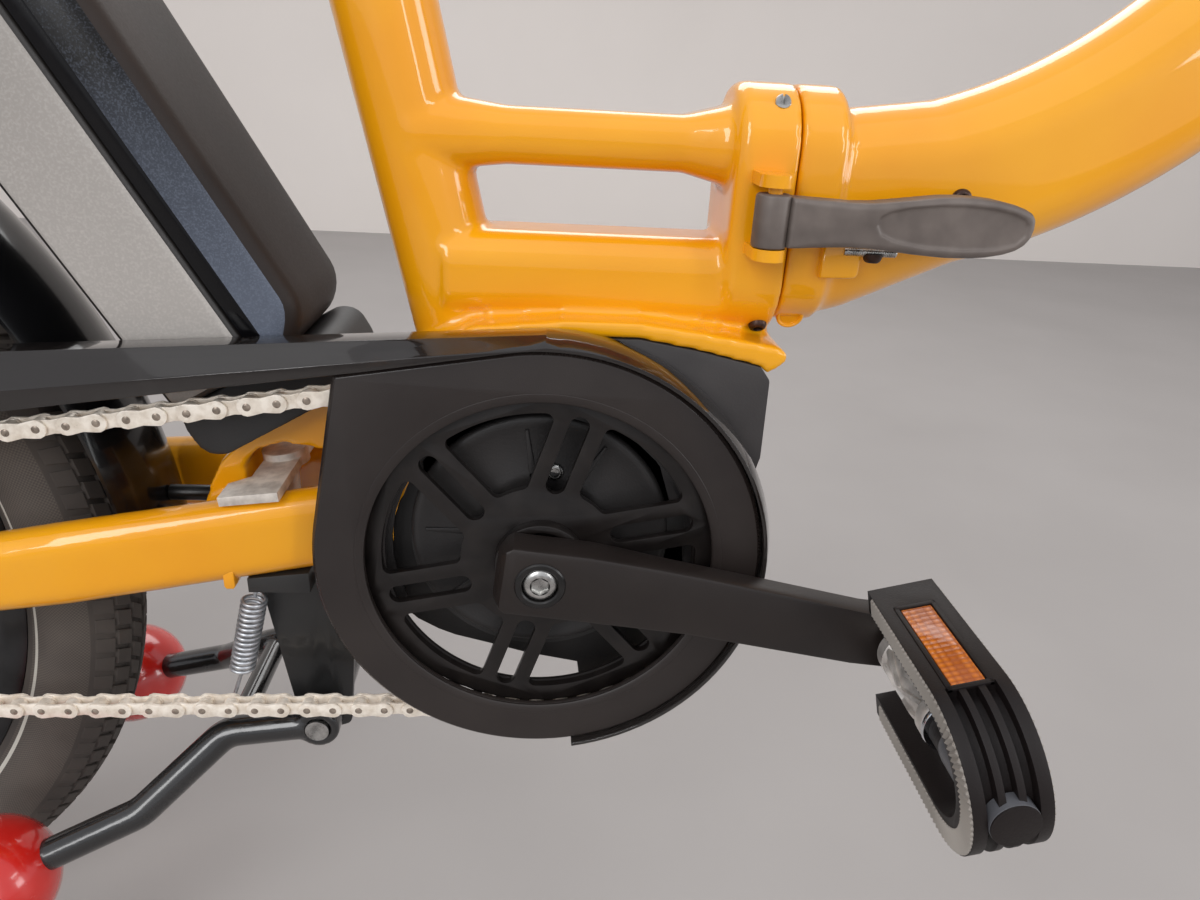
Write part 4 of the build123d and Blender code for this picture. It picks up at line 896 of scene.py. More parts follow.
# Chain
# A bush chain of 12.7 mm pitch: waisted outer plates riveted over inner plates and rollers. Its
# plates are nickel plated with a warm champagne tint, and the rivet ends are darker.
chain_pitch = 12.7
ring_teeth = 44
sprocket_teeth = 28
chain_links = 110
chain_y = -50.0
chain_lean = math.radians(4.24)
plate_radius = 4.3
plate_waist = 3.3
plate_thickness = 1.2
inner_gap = 1.2
roller_radius = 3.9
rivet_radius = 1.75
outer_y = 3.1
ring_pitch_radius = chain_pitch / (2 * math.sin(math.pi / ring_teeth))
sprocket_pitch_radius = chain_pitch / (2 * math.sin(math.pi / sprocket_teeth))
plate_light = linear(252, 242, 228)
plate_dark = linear(228, 215, 198)
axle_low, axle_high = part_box("rear_axle")
rear_x = ((axle_low.x + axle_high.x) / 2 - crank_x) / mm
rear_z = ((axle_low.z + axle_high.z) / 2 - crank_z) / mm
axle_reach = math.hypot(rear_x, rear_z)
chain_spread = math.asin((ring_pitch_radius - sprocket_pitch_radius) / axle_reach)
straight_run = axle_reach * math.cos(chain_spread) / chain_pitch
sprocket_wrap = sprocket_teeth * (0.5 - chain_spread / math.pi)
chain_start = math.pi / 2 + chain_lean + chain_spread


def chain_point(share):
    """The chain's centre line at a count of links from the top of the chain ring."""
    share = share % chain_links
    radius, x, z, teeth = ring_pitch_radius, 0.0, 0.0, ring_teeth
    turned_links = share - chain_links
    run = 0.0
    if share < straight_run:
        turned_links = 0.0
        run = share
    elif share < 2 * straight_run + sprocket_wrap:
        radius, x, z, teeth = sprocket_pitch_radius, rear_x, rear_z, sprocket_teeth
        turned_links = min(share - straight_run, sprocket_wrap)
        run = max(share - straight_run - sprocket_wrap, 0.0)
    angle = chain_start + turned_links * 2 * math.pi / teeth
    x += radius * math.cos(angle) - run * chain_pitch * math.sin(angle)
    z += radius * math.sin(angle) + run * chain_pitch * math.cos(angle)
    return Vector((x, z))


def waisted_plate(radius, waist, y_low, y_high, rim):
    """A chain plate: two round ends and a narrower waist, between two pins on the x axis."""
    points = []
    half = chain_pitch / 2
    for side in (1, -1):
        for step in range(-4, 5):
            angle = math.radians(step * 27.0) + (0.0 if side > 0 else math.pi)
            points.append((side * half + radius * math.cos(angle), radius * math.sin(angle)))
        points.append((0.0, side * waist))
    return loose_slab(points, y_low, y_high, rim=rim)


def rivets(radius, y_low, y_high, steps):
    """The two round parts of a link, at its pins."""
    parts = []
    for x in (-chain_pitch / 2, chain_pitch / 2):
        parts.append(turned([
            (0, y_low), (radius * 0.6, y_low), (radius, y_low + 0.35), (radius, y_high - 0.35),
            (radius * 0.6, y_high), (0, y_high)], Vector((x * mm, 0, 0)), (0, 1, 0), steps=steps))
    return parts


outer_face = outer_y + plate_thickness
inner_face = inner_gap + 0.8
outer_link = gathered([
    waisted_plate(plate_radius, plate_waist, -outer_face, -outer_y, 0.25),
    waisted_plate(plate_radius, plate_waist, outer_y, outer_face, 0.25)])
inner_link = gathered([
    waisted_plate(plate_radius - 0.3, plate_waist - 0.2, -outer_y + 0.1, -inner_face, 0.2),
    waisted_plate(plate_radius - 0.3, plate_waist - 0.2, inner_face, outer_y - 0.1, 0.2)]
    + rivets(roller_radius, -inner_gap - 0.7, inner_gap + 0.7, 12))
rivet_pair = gathered(rivets(rivet_radius, -outer_face - 0.5, outer_face + 0.5, 12))


def link_places(first):
    """Middle and turn of every second link."""
    places = []
    for number in range(first, chain_links, 2):
        low = chain_point(number)
        high = chain_point(number + 1)
        middle = (low + high) / 2
        turn = -math.atan2(high.y - low.y, high.x - low.x)
        places.append((at(middle.x, chain_y, middle.y), turn))
    return places


chain_finish = metal(
    "plated_chain", plate_dark, plate_light, rough=(0.26, 0.42), metallic=0.2, spot=0.004,
    scratch=0.00002)
rivet_finish = metal(
    "rivet_steel", linear(128, 116, 104), linear(166, 152, 138), rough=(0.25, 0.4), metallic=0.5,
    spot=0.002)
chain_mesh = gathered([
    repeated("outer_links", outer_link, link_places(0), chain_finish),
    repeated("inner_links", inner_link, link_places(1), chain_finish)])
chain = add_piece("chain_links", chain_mesh, "rear_frame", [chain_finish])
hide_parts("chain")
rivet_mesh = repeated("chain_rivets", rivet_pair, link_places(0), rivet_finish)
add_piece("chain_rivets", rivet_mesh, "rear_frame", [rivet_finish])


# Chain guard
# A flat ring of matt, fine-grained plastic over the chain ring, bevelled at both rims, under a
# smoked, see-through channel with a sloped shoulder that runs back over the upper run.
guard_dark = linear(31, 24, 22)
guard_light = linear(42, 35, 32)
smoke_dark = linear(28, 24, 22)
smoke_light = linear(38, 33, 31)
smoke_alpha = 0.9

guard_finish = moulded(
    "guard_grain", guard_dark, guard_light, rough=0.42, grain_size=0.0006, grain_height=0.00004)
edge_finish = moulded(
    "guard_edge", guard_dark, guard_light, rough=0.24, grain_size=0.0006, grain_height=0.00001)


def second_finish(piece, least, most):
    """Give a piece's second finish to the faces that look sideways by least to most."""
    for face in piece.data.polygons:
        if least < abs(face.normal.y) < most:
            face.material_index = 1


guard = add_piece(
    "guard_ring", bevelled(["guard_plate"], width=0.0004), "rear_frame",
    [guard_finish, edge_finish], smooth=25.0)
second_finish(guard, 0.3, 0.95)
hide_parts("guard_plate")

step_ring = turned([
    (80.0, 1.0), (80.0, 0.0), (80.8, -0.6), (84.0, -0.6), (84.6, 0.0)],
    at(0, -60.9, 0), (0, 1, 0), steps=128)
add_piece("guard_inner_step", step_ring, "rear_frame", [guard_finish])

smoke_finish, smoke_shader, smoke_tree = finish(
    "smoked_cover", smoke_dark, 0.1, alpha=smoke_alpha, coat_weight=1.0, coat_roughness=0.03,
    specular_ior_level=0.2)
smoke_place = place_in(smoke_tree)
feed(smoke_shader, "Base Color", between(grain(smoke_place, 0.06), smoke_dark, smoke_light))
feed(smoke_shader, "Roughness", grain(smoke_place, 0.012).ramp(0.3, 0.7, 0.06, 0.13))
cover = add_piece(
    "guard_channel", bevelled(["guard_cover"], width=0.0007, segments=3), "rear_frame",
    [smoke_finish], smooth=28.0)
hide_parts("guard_cover")


# Cranks and their bolts
# Forged aluminium arms, thick at the axle and squared behind it, bevelled along every edge and
# coated matt dark grey-brown. A black washer ring holds each silver bolt with its hexagonal socket.
crank_dark = linear(28, 22, 20)
crank_light = linear(38, 31, 28)
crank_slope = math.radians(-6.8)
crank_length = 164.0
crank_edge = 1.8
bolt_face_y = -78.0
pocket_radius = 11.5
pocket_depth = 3.0
tip_round = 14.0
crank_stations = [
    # distance from the axle, half height, inner y, outer y
    (-20.0, 10.5, -64.5, -74.0), (-16.6, 15.2, -61.6, -78.0), (-14.0, 17.0, -61.2, -78.0),
    (20.0, 17.0, -61.2, -78.0), (32.0, 16.7, -62.6, -78.6), (50.0, 16.2, -65.6, -79.6),
    (70.0, 15.5, -68.0, -81.0), (107.0, 14.8, -73.2, -86.2), (144.0, 14.0, -78.5, -91.5),
    (160.0, 14.0, -78.5, -91.5)]
for reach in (165.0, 168.5, 171.5, 174.0, 176.0, 177.3, 177.9):
    tip_half = math.sqrt(tip_round ** 2 - (reach - crank_length) ** 2)
    crank_stations.append((reach, tip_half, -78.5, -91.5))


def crank_mesh(side, sign):
    """A crank arm drawn through its stations, with a pocket for the washer ring."""
    forward = 1 if side == "right" else -1
    along = (math.cos(crank_slope) * forward, math.sin(crank_slope) * forward)
    rings = []
    for reach, half, y_in, y_out in crank_stations:
        edge = min(crank_edge, half * 0.45)
        corners = []
        for y, inward, up_down in ((y_out, 1, 1), (y_out, 1, -1), (y_in, -1, -1), (y_in, -1, 1)):
            on_side = (y, up_down * (half - edge))
            on_edge = (y + inward * edge * 0.3, up_down * (half - edge * 0.3))
            on_top = (y + inward * edge, up_down * half)
            corners += [on_top, on_edge, on_side] if up_down == inward else [on_side, on_edge, on_top]
        ring = []
        for y, height in corners:
            x = along[0] * reach - along[1] * height
            z = along[1] * reach + along[0] * height
            ring.append(at(x, sign * -y, z))
        rings.append(ring)
    pocket = turned([
        (0, -1.0), (pocket_radius, -1.0), (pocket_radius, pocket_depth), (0, pocket_depth)],
        at(0, sign * -bolt_face_y, 0), (0, -sign, 0), steps=48)
    return hollowed(lofted(rings), pocket)


crank_finish = moulded(
    "crank_coat", crank_dark, crank_light, rough=0.38, grain_size=0.0007, grain_height=0.00004,
    metallic=0.1)
washer_finish = metal(
    "cap_black", linear(18, 17, 17), linear(28, 26, 25), rough=(0.3, 0.42), metallic=0.1,
    spot=0.005)
for side, sign in (("right", -1), ("left", 1)):
    arm = add_piece(
        "crank_arm_" + side, crank_mesh(side, sign), "crankset", [crank_finish],
        smooth=32.0)
    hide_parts("crank_" + side)

for side, sign in (("right", -1), ("left", 1)):
    seat = at(0, sign * -bolt_face_y, 0)
    out = Vector((0, sign, 0))
    washer = turned([
        (11.4, -2.9), (11.4, 0.2), (10.8, 0.9), (8.8, 0.9), (8.2, 0.2), (8.2, -2.9)],
        seat, out, steps=48, closed=True)
    washer_piece = add_piece(
        "crank_washer_" + side, washer, "crankset", [washer_finish])
    bolt = screw(seat + out * -2.4 * mm, out, radius=8.1, height=2.9)
    bolt_piece = add_piece("crank_bolt_head_" + side, bolt, "crankset", [bright_steel])
    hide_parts("crank_bolt_" + side)
    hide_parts("crank_bolt_" + side)


# Pedals
# A U-shaped black moulded cage with an amber reflector let into each rail, a grey knob at its
# rounded end, and a cast aluminium barrel with slanting ribs that turns on the spindle.
pedal_length = 98.0
pedal_half = 34.0
pedal_tilt = math.radians(14.0)
pedal_y = 94.5
reflector_place = 0.42 * pedal_length
prism_size = 0.0028
strip_inner = 24.6
strip_first = 5.0
strip_pitch = 2.4
strip_low = 13.4
strip_high = 15.0
rib_count = 10
rib_steps = 6
rib_lean = 0.55
lens_half = 6.3
lens_reach = 23.8
lens_frame_half = 8.6
lens_frame_reach = 26.2
lens_frame_width = 2.2

cage_finish = moulded(
    "pedal_cage_grain", linear(20, 15, 15), linear(29, 23, 22), rough=0.46, grain_size=0.0009,
    grain_height=0.00006, shine=0.25)
barrel_finish = metal(
    "barrel_cast", linear(190, 184, 178), linear(222, 217, 211), rough=(0.26, 0.4), metallic=0.6,
    spot=0.006)
grip_finish = moulded(
    "grip_rubber", linear(132, 126, 119), linear(164, 157, 149), rough=0.6, grain_size=0.0006,
    grain_height=0.00005)
knob_finish = moulded(
    "knob_plastic", linear(74, 75, 79), linear(92, 92, 96), rough=0.38, grain_size=0.0008,
    grain_height=0.00003)
chrome_finish = metal(
    "barrel_chrome", linear(196, 200, 206), linear(226, 229, 234), rough=(0.1, 0.18), metallic=1.0,
    spot=0.004)
amber_finish, amber_shader, amber_tree = finish(
    "amber_prism", linear(190, 98, 16), 0.24, coat_weight=0.4, coat_roughness=0.08)
amber_cells = Link.node(
    amber_tree, "ShaderNodeTexVoronoi", {"feature": "F1"},
    {"Vector": place_in(amber_tree), "Scale": 1 / prism_size, "Randomness": 0.0})
amber = between(amber_cells.ramp(0.1, 0.6), linear(212, 118, 24), linear(158, 76, 8))
feed(amber_shader, "Base Color", amber)
bumped(amber_shader, amber_cells, 0.0004)


def pedal_place(side):
    """Turns pedal millimetres (thickness, height, distance from the crank) into a place."""
    sign = -1 if side == "right" else 1
    arm = -sign * crank_length
    origin = at(arm * math.cos(crank_slope), sign * pedal_y, arm * math.sin(crank_slope))
    along = Vector((math.cos(pedal_tilt), 0, math.sin(pedal_tilt)))
    out = Vector((0, sign, 0))
    up = out.cross(along)

    def place(across, height, reach):
        return origin + (along * across + up * height + out * reach) * mm
    return place, out


def placed_box(place, across, height, reach, rim):
    """A bevelled bar between pairs of limits in pedal millimetres."""
    bm = bmesh.new()
    corners = [bm.verts.new(place(a, h, r)) for a in across for h in height for r in reach]
    for order in ((0, 1, 3, 2), (4, 6, 7, 5), (0, 4, 5, 1), (2, 3, 7, 6), (0, 2, 6, 4), (1, 5, 7, 3)):
        bm.faces.new([corners[number] for number in order])
    bmesh.ops.recalc_face_normals(bm, faces=bm.faces[:])
    bmesh.ops.bevel(bm, geom=bm.edges[:], offset=rim * mm, segments=2, affect="EDGES", profile=0.5)
    return meshed(bm)


def barrel_rib(place, turn, first, last, leans_out):
    """A slanting rib on the barrel, between two distances from the crank."""
    rings = []
    for step in range(rib_steps + 1):
        share = step / rib_steps
        middle = turn + rib_lean * (share if leans_out else 1 - share)
        reach = first + (last - first) * share
        ring = []
        for radius, offset in ((10.0, -1.3), (12.3, -0.8), (12.3, 0.8), (10.0, 1.3)):
            angle = middle + offset / 12.0
            ring.append(place(radius * math.cos(angle), radius * math.sin(angle), reach))
        rings.append(ring)
    return lofted(rings, wrap=False)


def grip_strip(place, edge_side):
    """The serrated strip that runs along both rails and round the end, on one edge of a cage."""
    run = pedal_length - pedal_half - strip_first
    bend = pedal_half - (pedal_half - strip_inner) / 2
    total = 2 * run + math.pi * bend
    steps = 2 * int(total / strip_pitch)
    rings = []
    for step in range(steps + 1):
        gone = total * step / steps
        if gone < run:
            reach, way = strip_first + gone, (1.0, 0.0)
        elif gone < total - run:
            angle = (gone - run) / bend
            reach, way = pedal_length - pedal_half, (math.cos(angle), math.sin(angle))
        else:
            reach, way = strip_first + total - gone, (-1.0, 0.0)
        top = strip_high if step % 2 else strip_high - 1.0
        ring = []
        for radius, across in (
                (strip_inner, strip_low), (strip_inner, top - 0.4), (strip_inner + 0.5, top),
                (pedal_half - 1.0, top), (pedal_half - 0.4, top - 0.5),
                (pedal_half - 0.4, strip_low)):
            ring.append(place(edge_side * across, way[0] * radius, reach + way[1] * radius))
        rings.append(ring)
    return lofted(rings)


for side in ("right", "left"):
    place, out = pedal_place(side)
    centre = place(0, 0, 0)
    body = "pedal_" + side
    cage_name = "cage_moulded_" + side
    cage = add_piece(
        cage_name, bevelled(["pedal_cage_" + side], width=0.0012, segments=3, angle=35.0), body,
        [cage_finish], smooth=36.0)
    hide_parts("pedal_cage_" + side)

    core = turned([
        (0, -1.0), (6.5, -1.0), (6.5, 0.5), (11.6, 0.5), (12.4, 1.4), (12.4, 7.0), (10.6, 8.4),
        (10.6, 41.6), (12.4, 43.0), (12.4, 48.6), (11.6, 49.6), (6.0, 49.6), (0, 49.6)],
        centre, out, steps=48)
    thread = turned([
        (0, -16.0), (6.0, -16.0), (6.8, -15.2), (6.8, -2.2), (8.6, -2.0), (8.6, 0.0), (0, 0.0)],
        centre, out, steps=6)
    ribs = []
    for number in range(rib_count):
        turn = 2 * math.pi * number / rib_count
        ribs.append(barrel_rib(place, turn, 8.0, 25.0, True))
        ribs.append(barrel_rib(place, turn, 25.0, 42.0, False))
    barrel_mesh = gathered([core, thread] + ribs)
    barrel = add_piece("barrel_cast_" + side, barrel_mesh, body, [barrel_finish])
    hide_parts("pedal_barrel_" + side)

    lens_ends = (reflector_place - lens_reach, reflector_place + lens_reach)
    frame_ends = (reflector_place - lens_frame_reach, reflector_place + lens_frame_reach)
    lenses = []
    lens_frames = []
    for sign in (-1, 1):
        lens_depth = (sign * (pedal_half - 1.9), sign * (pedal_half + 0.1))
        lenses.append(placed_box(place, (-lens_half, lens_half), lens_depth, lens_ends, 0.5))
        depth = (sign * (pedal_half - 1.2), sign * (pedal_half + 0.45))
        for across in ((-lens_frame_half, -6.6), (6.6, lens_frame_half)):
            lens_frames.append(placed_box(place, across, depth, frame_ends, 0.35))
        width = (-lens_frame_half, lens_frame_half)
        for reach in (
                (frame_ends[0], frame_ends[0] + lens_frame_width),
                (frame_ends[1] - lens_frame_width, frame_ends[1])):
            lens_frames.append(placed_box(place, width, depth, reach, 0.35))
    lens_piece = add_piece(
        "lenses_" + side, gathered(lenses), body, [amber_finish])
    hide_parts("pedal_reflectors_" + side)

    knob = turned([
        (0, 93.0), (9.1, 93.0), (9.1, 98.8), (8.5, 99.4), (5.6, 99.4), (5.2, 99.1), (0, 99.1)],
        centre, out, steps=40)
    add_piece("knob_" + side, knob, body, [knob_finish])
    strips = gathered([grip_strip(place, edge_side) for edge_side in (-1, 1)])
    add_piece("grip_strips_" + side, strips, body, [grip_finish], smooth=20.0)
    add_piece("lens_frames_" + side, gathered(lens_frames), body, [cage_finish])
    barrel_ring = turned([
        (8.6, 49.2), (12.5, 49.2), (12.7, 50.2), (12.2, 51.2), (9.2, 51.2), (8.6, 50.4)],
        centre, out, steps=48, closed=True)
    add_piece("barrel_ring_" + side, barrel_ring, body, [chrome_finish])
    stem = turned([
        (0, 49.4), (7.8, 49.8), (8.2, 51.5), (8.6, 58.0), (10.2, 60.0), (10.6, 63.0), (10.6, 86.0),
        (0, 86.0)],
        centre, out, steps=40)
    add_piece("knob_stem_" + side, stem, body, [knob_finish])


# Tyre
# A 20-inch city tyre: woven sidewalls with a thin reflective stripe, and shingled tread blocks
# of finely grained rubber, set in three rows on each side of the crown.
bead_radius = 206.0
crown_radius = 257.0
tread_depth = 2.6
tyre_half = 27.0
stripe_radius = 213.5
stripe_half = 1.1
block_rows = 64
rubber_dark = linear(62, 56, 52)
rubber_light = linear(96, 88, 81)
stripe_color = linear(196, 192, 182)
weave_size = 0.0016
tread_base = crown_radius - tread_depth

carcass_section = [
    # radius, y
    (bead_radius + 0.2, -15.0), (bead_radius + 3.0, -17.0), (bead_radius + 8.0, -21.5),
    (bead_radius + 15.0, -25.6), (bead_radius + 22.0, -tyre_half), (bead_radius + 29.0, -26.2),
    (bead_radius + 36.0, -23.2), (tread_base - 6.0, -18.0), (tread_base - 2.2, -11.0),
    (tread_base - 0.5, -5.0), (tread_base, 0.0)]
carcass_section += [(radius, -y) for radius, y in reversed(carcass_section[:-1])]
wheel_centre = at(rear_x, 0, rear_z)
carcass = turned(carcass_section, wheel_centre, (0, 1, 0), steps=144, closed=True)


def crown_drop(y):
    """How far the tread's surface falls from the crown at y, in millimetres."""
    return 0.0205 * y * y + 0.0000125 * y ** 4


def tread_block(corners):
    """A block on the crown: corners of (distance along the tread, y), from the wheel's centre."""
    middle_s = sum(s for s, y in corners) / len(corners)
    middle_y = sum(y for s, y in corners) / len(corners)
    rings = []
    for depth, inset in ((tread_depth + 1.2, 0.0), (0.45, 0.0), (0.0, 0.4)):
        ring = []
        for s, y in corners:
            length = math.hypot(s - middle_s, y - middle_y)
            share = (length - inset) / length
            y_in = middle_y + (y - middle_y) * share
            radius = crown_radius - crown_drop(y_in) - depth
            angle = (middle_s + (s - middle_s) * share) / crown_radius
            ring.append(Vector((radius * math.cos(angle), y_in, radius * math.sin(angle))) * mm)
        rings.append(ring)
    return lofted(rings, lids=(-1,))


block_pitch = 2 * math.pi * crown_radius / block_rows
block_table = [
    # corners as (share of the pitch, y) on the right half; the left half is mirrored, a quarter on
    [(0.02, -1.2), (0.40, -1.2), (0.62, -7.8), (0.24, -7.8)],
    [(0.50, -1.2), (0.88, -1.2), (1.10, -7.8), (0.72, -7.8)],
    [(0.08, -9.0), (0.46, -9.0), (0.58, -15.5), (0.20, -15.5)],
    [(0.58, -9.0), (0.96, -9.0), (1.08, -15.5), (0.70, -15.5)],
    [(0.02, -16.6), (0.40, -16.6), (0.48, -22.4), (0.14, -22.4)],
    [(0.52, -16.6), (0.90, -16.6), (0.98, -22.4), (0.64, -22.4)],
]
blocks = []
for corners in block_table:
    blocks.append(tread_block([(share * block_pitch, y) for share, y in corners]))
    blocks.append(tread_block([((share + 0.25) * block_pitch, -y) for share, y in corners]))
block_set = gathered(blocks)


def coordinate(place, letter):
    """One coordinate of a place: X, Y or Z."""
    return Link.node(place.tree, "ShaderNodeSeparateXYZ", {}, {0: place}, output=letter)


tyre_finish, tyre_shader, tyre_tree = finish("tyre_rubber", rubber_dark, 0.72)
tyre_space = place_in(tyre_tree)
wheel_space = place_in(tyre_tree, location=(-wheel_centre.x, 0.0, -wheel_centre.z))
wheel_x = coordinate(wheel_space, "X")
wheel_z = coordinate(wheel_space, "Z")
radius_here = (wheel_x * wheel_x + wheel_z * wheel_z).root()
around = wheel_z.angle_from(wheel_x) * (bead_radius * mm)
stripe_low = radius_here > (stripe_radius - stripe_half) * mm
stripe = stripe_low * (radius_here < (stripe_radius + stripe_half) * mm)
side_wall = (radius_here < (crown_radius - 16.0) * mm) * (radius_here > (bead_radius + 4.0) * mm)
radians_per_metre = 2 * math.pi / weave_size
weave = ((radius_here + around) * radians_per_metre).sine()
weave_back = ((radius_here - around) * radians_per_metre).sine()
weave_height = (weave + weave_back).ramp(-1.6, 1.6) * side_wall
dust = grain(tyre_space, 0.03)
rubber = between((dust * 0.6 + weave_height * 0.5).ramp(0.2, 0.8), rubber_dark, rubber_light)
feed(tyre_shader, "Base Color", between(stripe, rubber, stripe_color))
feed(tyre_shader, "Roughness", (dust * 0.3 + 0.62) - stripe * 0.3)
fine_grain = grain(tyre_space, 0.0012, 1.0)
bumped(tyre_shader, weave_height * 0.6 + fine_grain * 0.4, 0.00012)

block_places = [(wheel_centre, -2 * math.pi * number / block_rows) for number in range(block_rows)]
tread = repeated("tyre_tread", block_set, block_places, tyre_finish)
tyre = add_piece(
    "tyre_with_tread", gathered([carcass, tread]), "rear_wheel", [tyre_finish], smooth=30.0)
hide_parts("tyre")


# Rim and spokes
# A blackened double-wall aluminium rim, rolled and pinned, laced with 36 crossed round spokes and
# long dark nipples to a large black hub shell with a finned middle.
rim_dark = linear(28, 28, 29)
rim_light = linear(44, 44, 45)
fin_count = 8
fin_pitch = 7.0
spoke_total = 36
spoke_radius = 1.1
nipple_radius = 2.0
nipple_length = 12.0
flange_reach = 53.0
flange_y = 34.0
rim_reach = 183.2
rim_y = 3.0
spoke_cross = math.radians(24.0)

rim_finish = metal(
    "rim_coat", rim_dark, rim_light, rough=(0.26, 0.38), metallic=0.4, spot=0.02, scratch=0.00001)
rim_section = [
    (184.0, -7.0), (184.6, -8.4), (188.0, -12.6), (194.0, -15.6), (197.0, -16.0), (204.6, -16.0),
    (205.9, -15.4), (205.9, -13.4), (204.6, -12.6), (200.0, -12.2), (199.0, -9.0), (199.0, 0.0)]
rim_section += [(radius, -y) for radius, y in reversed(rim_section[:-1])]
rim_section += [(184.0, 0.0)]
rim_mesh = turned(rim_section, wheel_centre, (0, 1, 0), steps=144, closed=True)
rim = add_piece("rim_rolled", rim_mesh, "rear_wheel", [rim_finish], smooth=35.0)
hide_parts("rim")

hub_finish = metal(
    "hub_coat", linear(32, 32, 33), linear(48, 48, 49), rough=(0.3, 0.42), metallic=0.4, spot=0.01,
    scratch=0.00001)
hub_section = [
    (0.0, -63.3), (14.0, -63.3), (20.5, -62.4), (23.5, -60.0), (24.0, -57.0), (24.0, -44.0),
    (30.0, -39.5), (46.0, -36.2), (55.0, -36.0), (56.0, -35.4), (56.0, -32.6), (55.0, -32.0),
    (47.4, -31.6), (46.6, -29.0)]
for number in range(fin_count):
    y = (number - (fin_count - 1) / 2) * fin_pitch
    hub_section += [(46.6, y - 2.0), (45.2, y - 1.4), (45.2, y + 1.4), (46.6, y + 2.0)]
hub_section += [
    (46.6, 29.0), (47.4, 31.6), (55.0, 32.0), (56.0, 32.6), (56.0, 35.4), (55.0, 36.0), (46.0, 36.2),
    (30.0, 39.5), (24.0, 44.0), (24.0, 57.0), (23.5, 60.0), (20.5, 62.4), (14.0, 63.3), (0.0, 63.3)]
hub_mesh = turned(hub_section, wheel_centre, (0, 1, 0), steps=72)
hub = add_piece("hub_shell", hub_mesh, "rear_wheel", [hub_finish], smooth=30.0)
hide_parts("hub")

spoke_finish = metal(
    "spoke_steel", linear(70, 70, 71), linear(96, 96, 97), rough=(0.24, 0.36), metallic=0.9,
    spot=0.01)
spokes = []
for number in range(spoke_total):
    angle = 2 * math.pi * number / spoke_total
    sign = 1 if number % 2 else -1
    start = angle + (spoke_cross if number % 4 < 2 else -spoke_cross)
    low = at(
        rear_x + flange_reach * math.cos(start), sign * flange_y,
        rear_z + flange_reach * math.sin(start))
    high = at(
        rear_x + rim_reach * math.cos(angle), sign * rim_y,
        rear_z + rim_reach * math.sin(angle))
    length = (high - low).length / mm
    spokes.append(turned([
        (0, 0.0), (spoke_radius, 0.0), (spoke_radius, length - nipple_length),
        (nipple_radius, length - nipple_length + 1.0), (nipple_radius, length), (0, length)],
        low, high - low, steps=10))
add_piece("spokes_laced", gathered(spokes), "rear_wheel", [spoke_finish])

sprocket_finish = metal(
    "sprocket_steel", linear(120, 118, 114), linear(160, 157, 152), rough=(0.28, 0.42),
    metallic=0.9, spot=0.01)
sprocket = add_piece(
    "sprocket_cut", bevelled(["sprocket"], width=0.0003), "rear_wheel", [sprocket_finish],
    smooth=30.0)
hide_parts("sprocket")


# Rear axle and its nuts
# A threaded steel axle that runs through the hub. It is clamped in the slots of the dropouts by a
# hexagonal nut and a washer on each side.
axle_meshes = [turned([
    (0, -85.3), (4.2, -85.3), (5.0, -84.5), (5.0, 84.5), (4.2, 85.3), (0, 85.3)],
    wheel_centre, (0, 1, 0), steps=24)]
for sign in (-1, 1):
    axle_meshes.append(turned([
        (5.0, 73.6), (9.0, 73.6), (9.0, 75.0), (5.0, 75.0)],
        wheel_centre, (0, sign, 0), steps=32, closed=True))
    axle_meshes.append(turned([
        (5.0, 75.0), (8.4, 75.0), (8.9, 75.6), (8.9, 80.8), (8.2, 81.5), (5.0, 81.5)],
        wheel_centre, (0, sign, 0), steps=6, closed=True))
axle = add_piece(
    "rear_axle_set", gathered(axle_meshes), "rear_frame", [bright_steel], smooth=25.0)
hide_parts("rear_axle")


# Mudguard and its stays
# A glossy black blade, crowned across and rolled at both edges, on round wire stays that are
# bolted to its edges and to the dropouts.
mudguard_dark = linear(12, 12, 13)
mudguard_light = linear(20, 20, 22)
mudguard_outer = 282.0
mudguard_half = 32.0
mudguard_first = 4.0
mudguard_last = 195.0
mudguard_steps = 96
crown_steps = 14

outer_section = []
for step in range(crown_steps + 1):
    y = -mudguard_half + 2 * mudguard_half * step / crown_steps
    outer_section.append((mudguard_outer - 10.0 * abs(y / mudguard_half) ** 2.4, y))
inner_section = [(radius - 1.6, y * 0.975) for radius, y in reversed(outer_section)]
edge_radius = mudguard_outer - 12.0
mudguard_section = [(edge_radius, -31.4)] + outer_section + [(edge_radius, 31.4)] + inner_section
rings = []
for step in range(mudguard_steps + 1):
    angle = math.radians(mudguard_first + (mudguard_last - mudguard_first) * step / mudguard_steps)
    rings.append([
        at(rear_x + radius * math.cos(angle), y, rear_z + radius * math.sin(angle))
        for radius, y in mudguard_section])
gloss_finish = moulded(
    "mudguard_gloss", mudguard_dark, mudguard_light, rough=0.2, grain_size=0.004,
    grain_height=0.00001, coat=0.5, shine=0.2)
mudguard = add_piece(
    "mudguard_blade", lofted(rings), "rear_frame", [gloss_finish], smooth=45.0)
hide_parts("mudguard")

wire_finish = metal(
    "wire_black", linear(22, 22, 22), linear(36, 35, 35), rough=(0.28, 0.4), metallic=0.5,
    spot=0.008)
stays = add_piece(
    "mudguard_wires", bevelled(["mudguard_stays"], width=0.0004), "rear_frame",
    [wire_finish])
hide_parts("mudguard_stays")


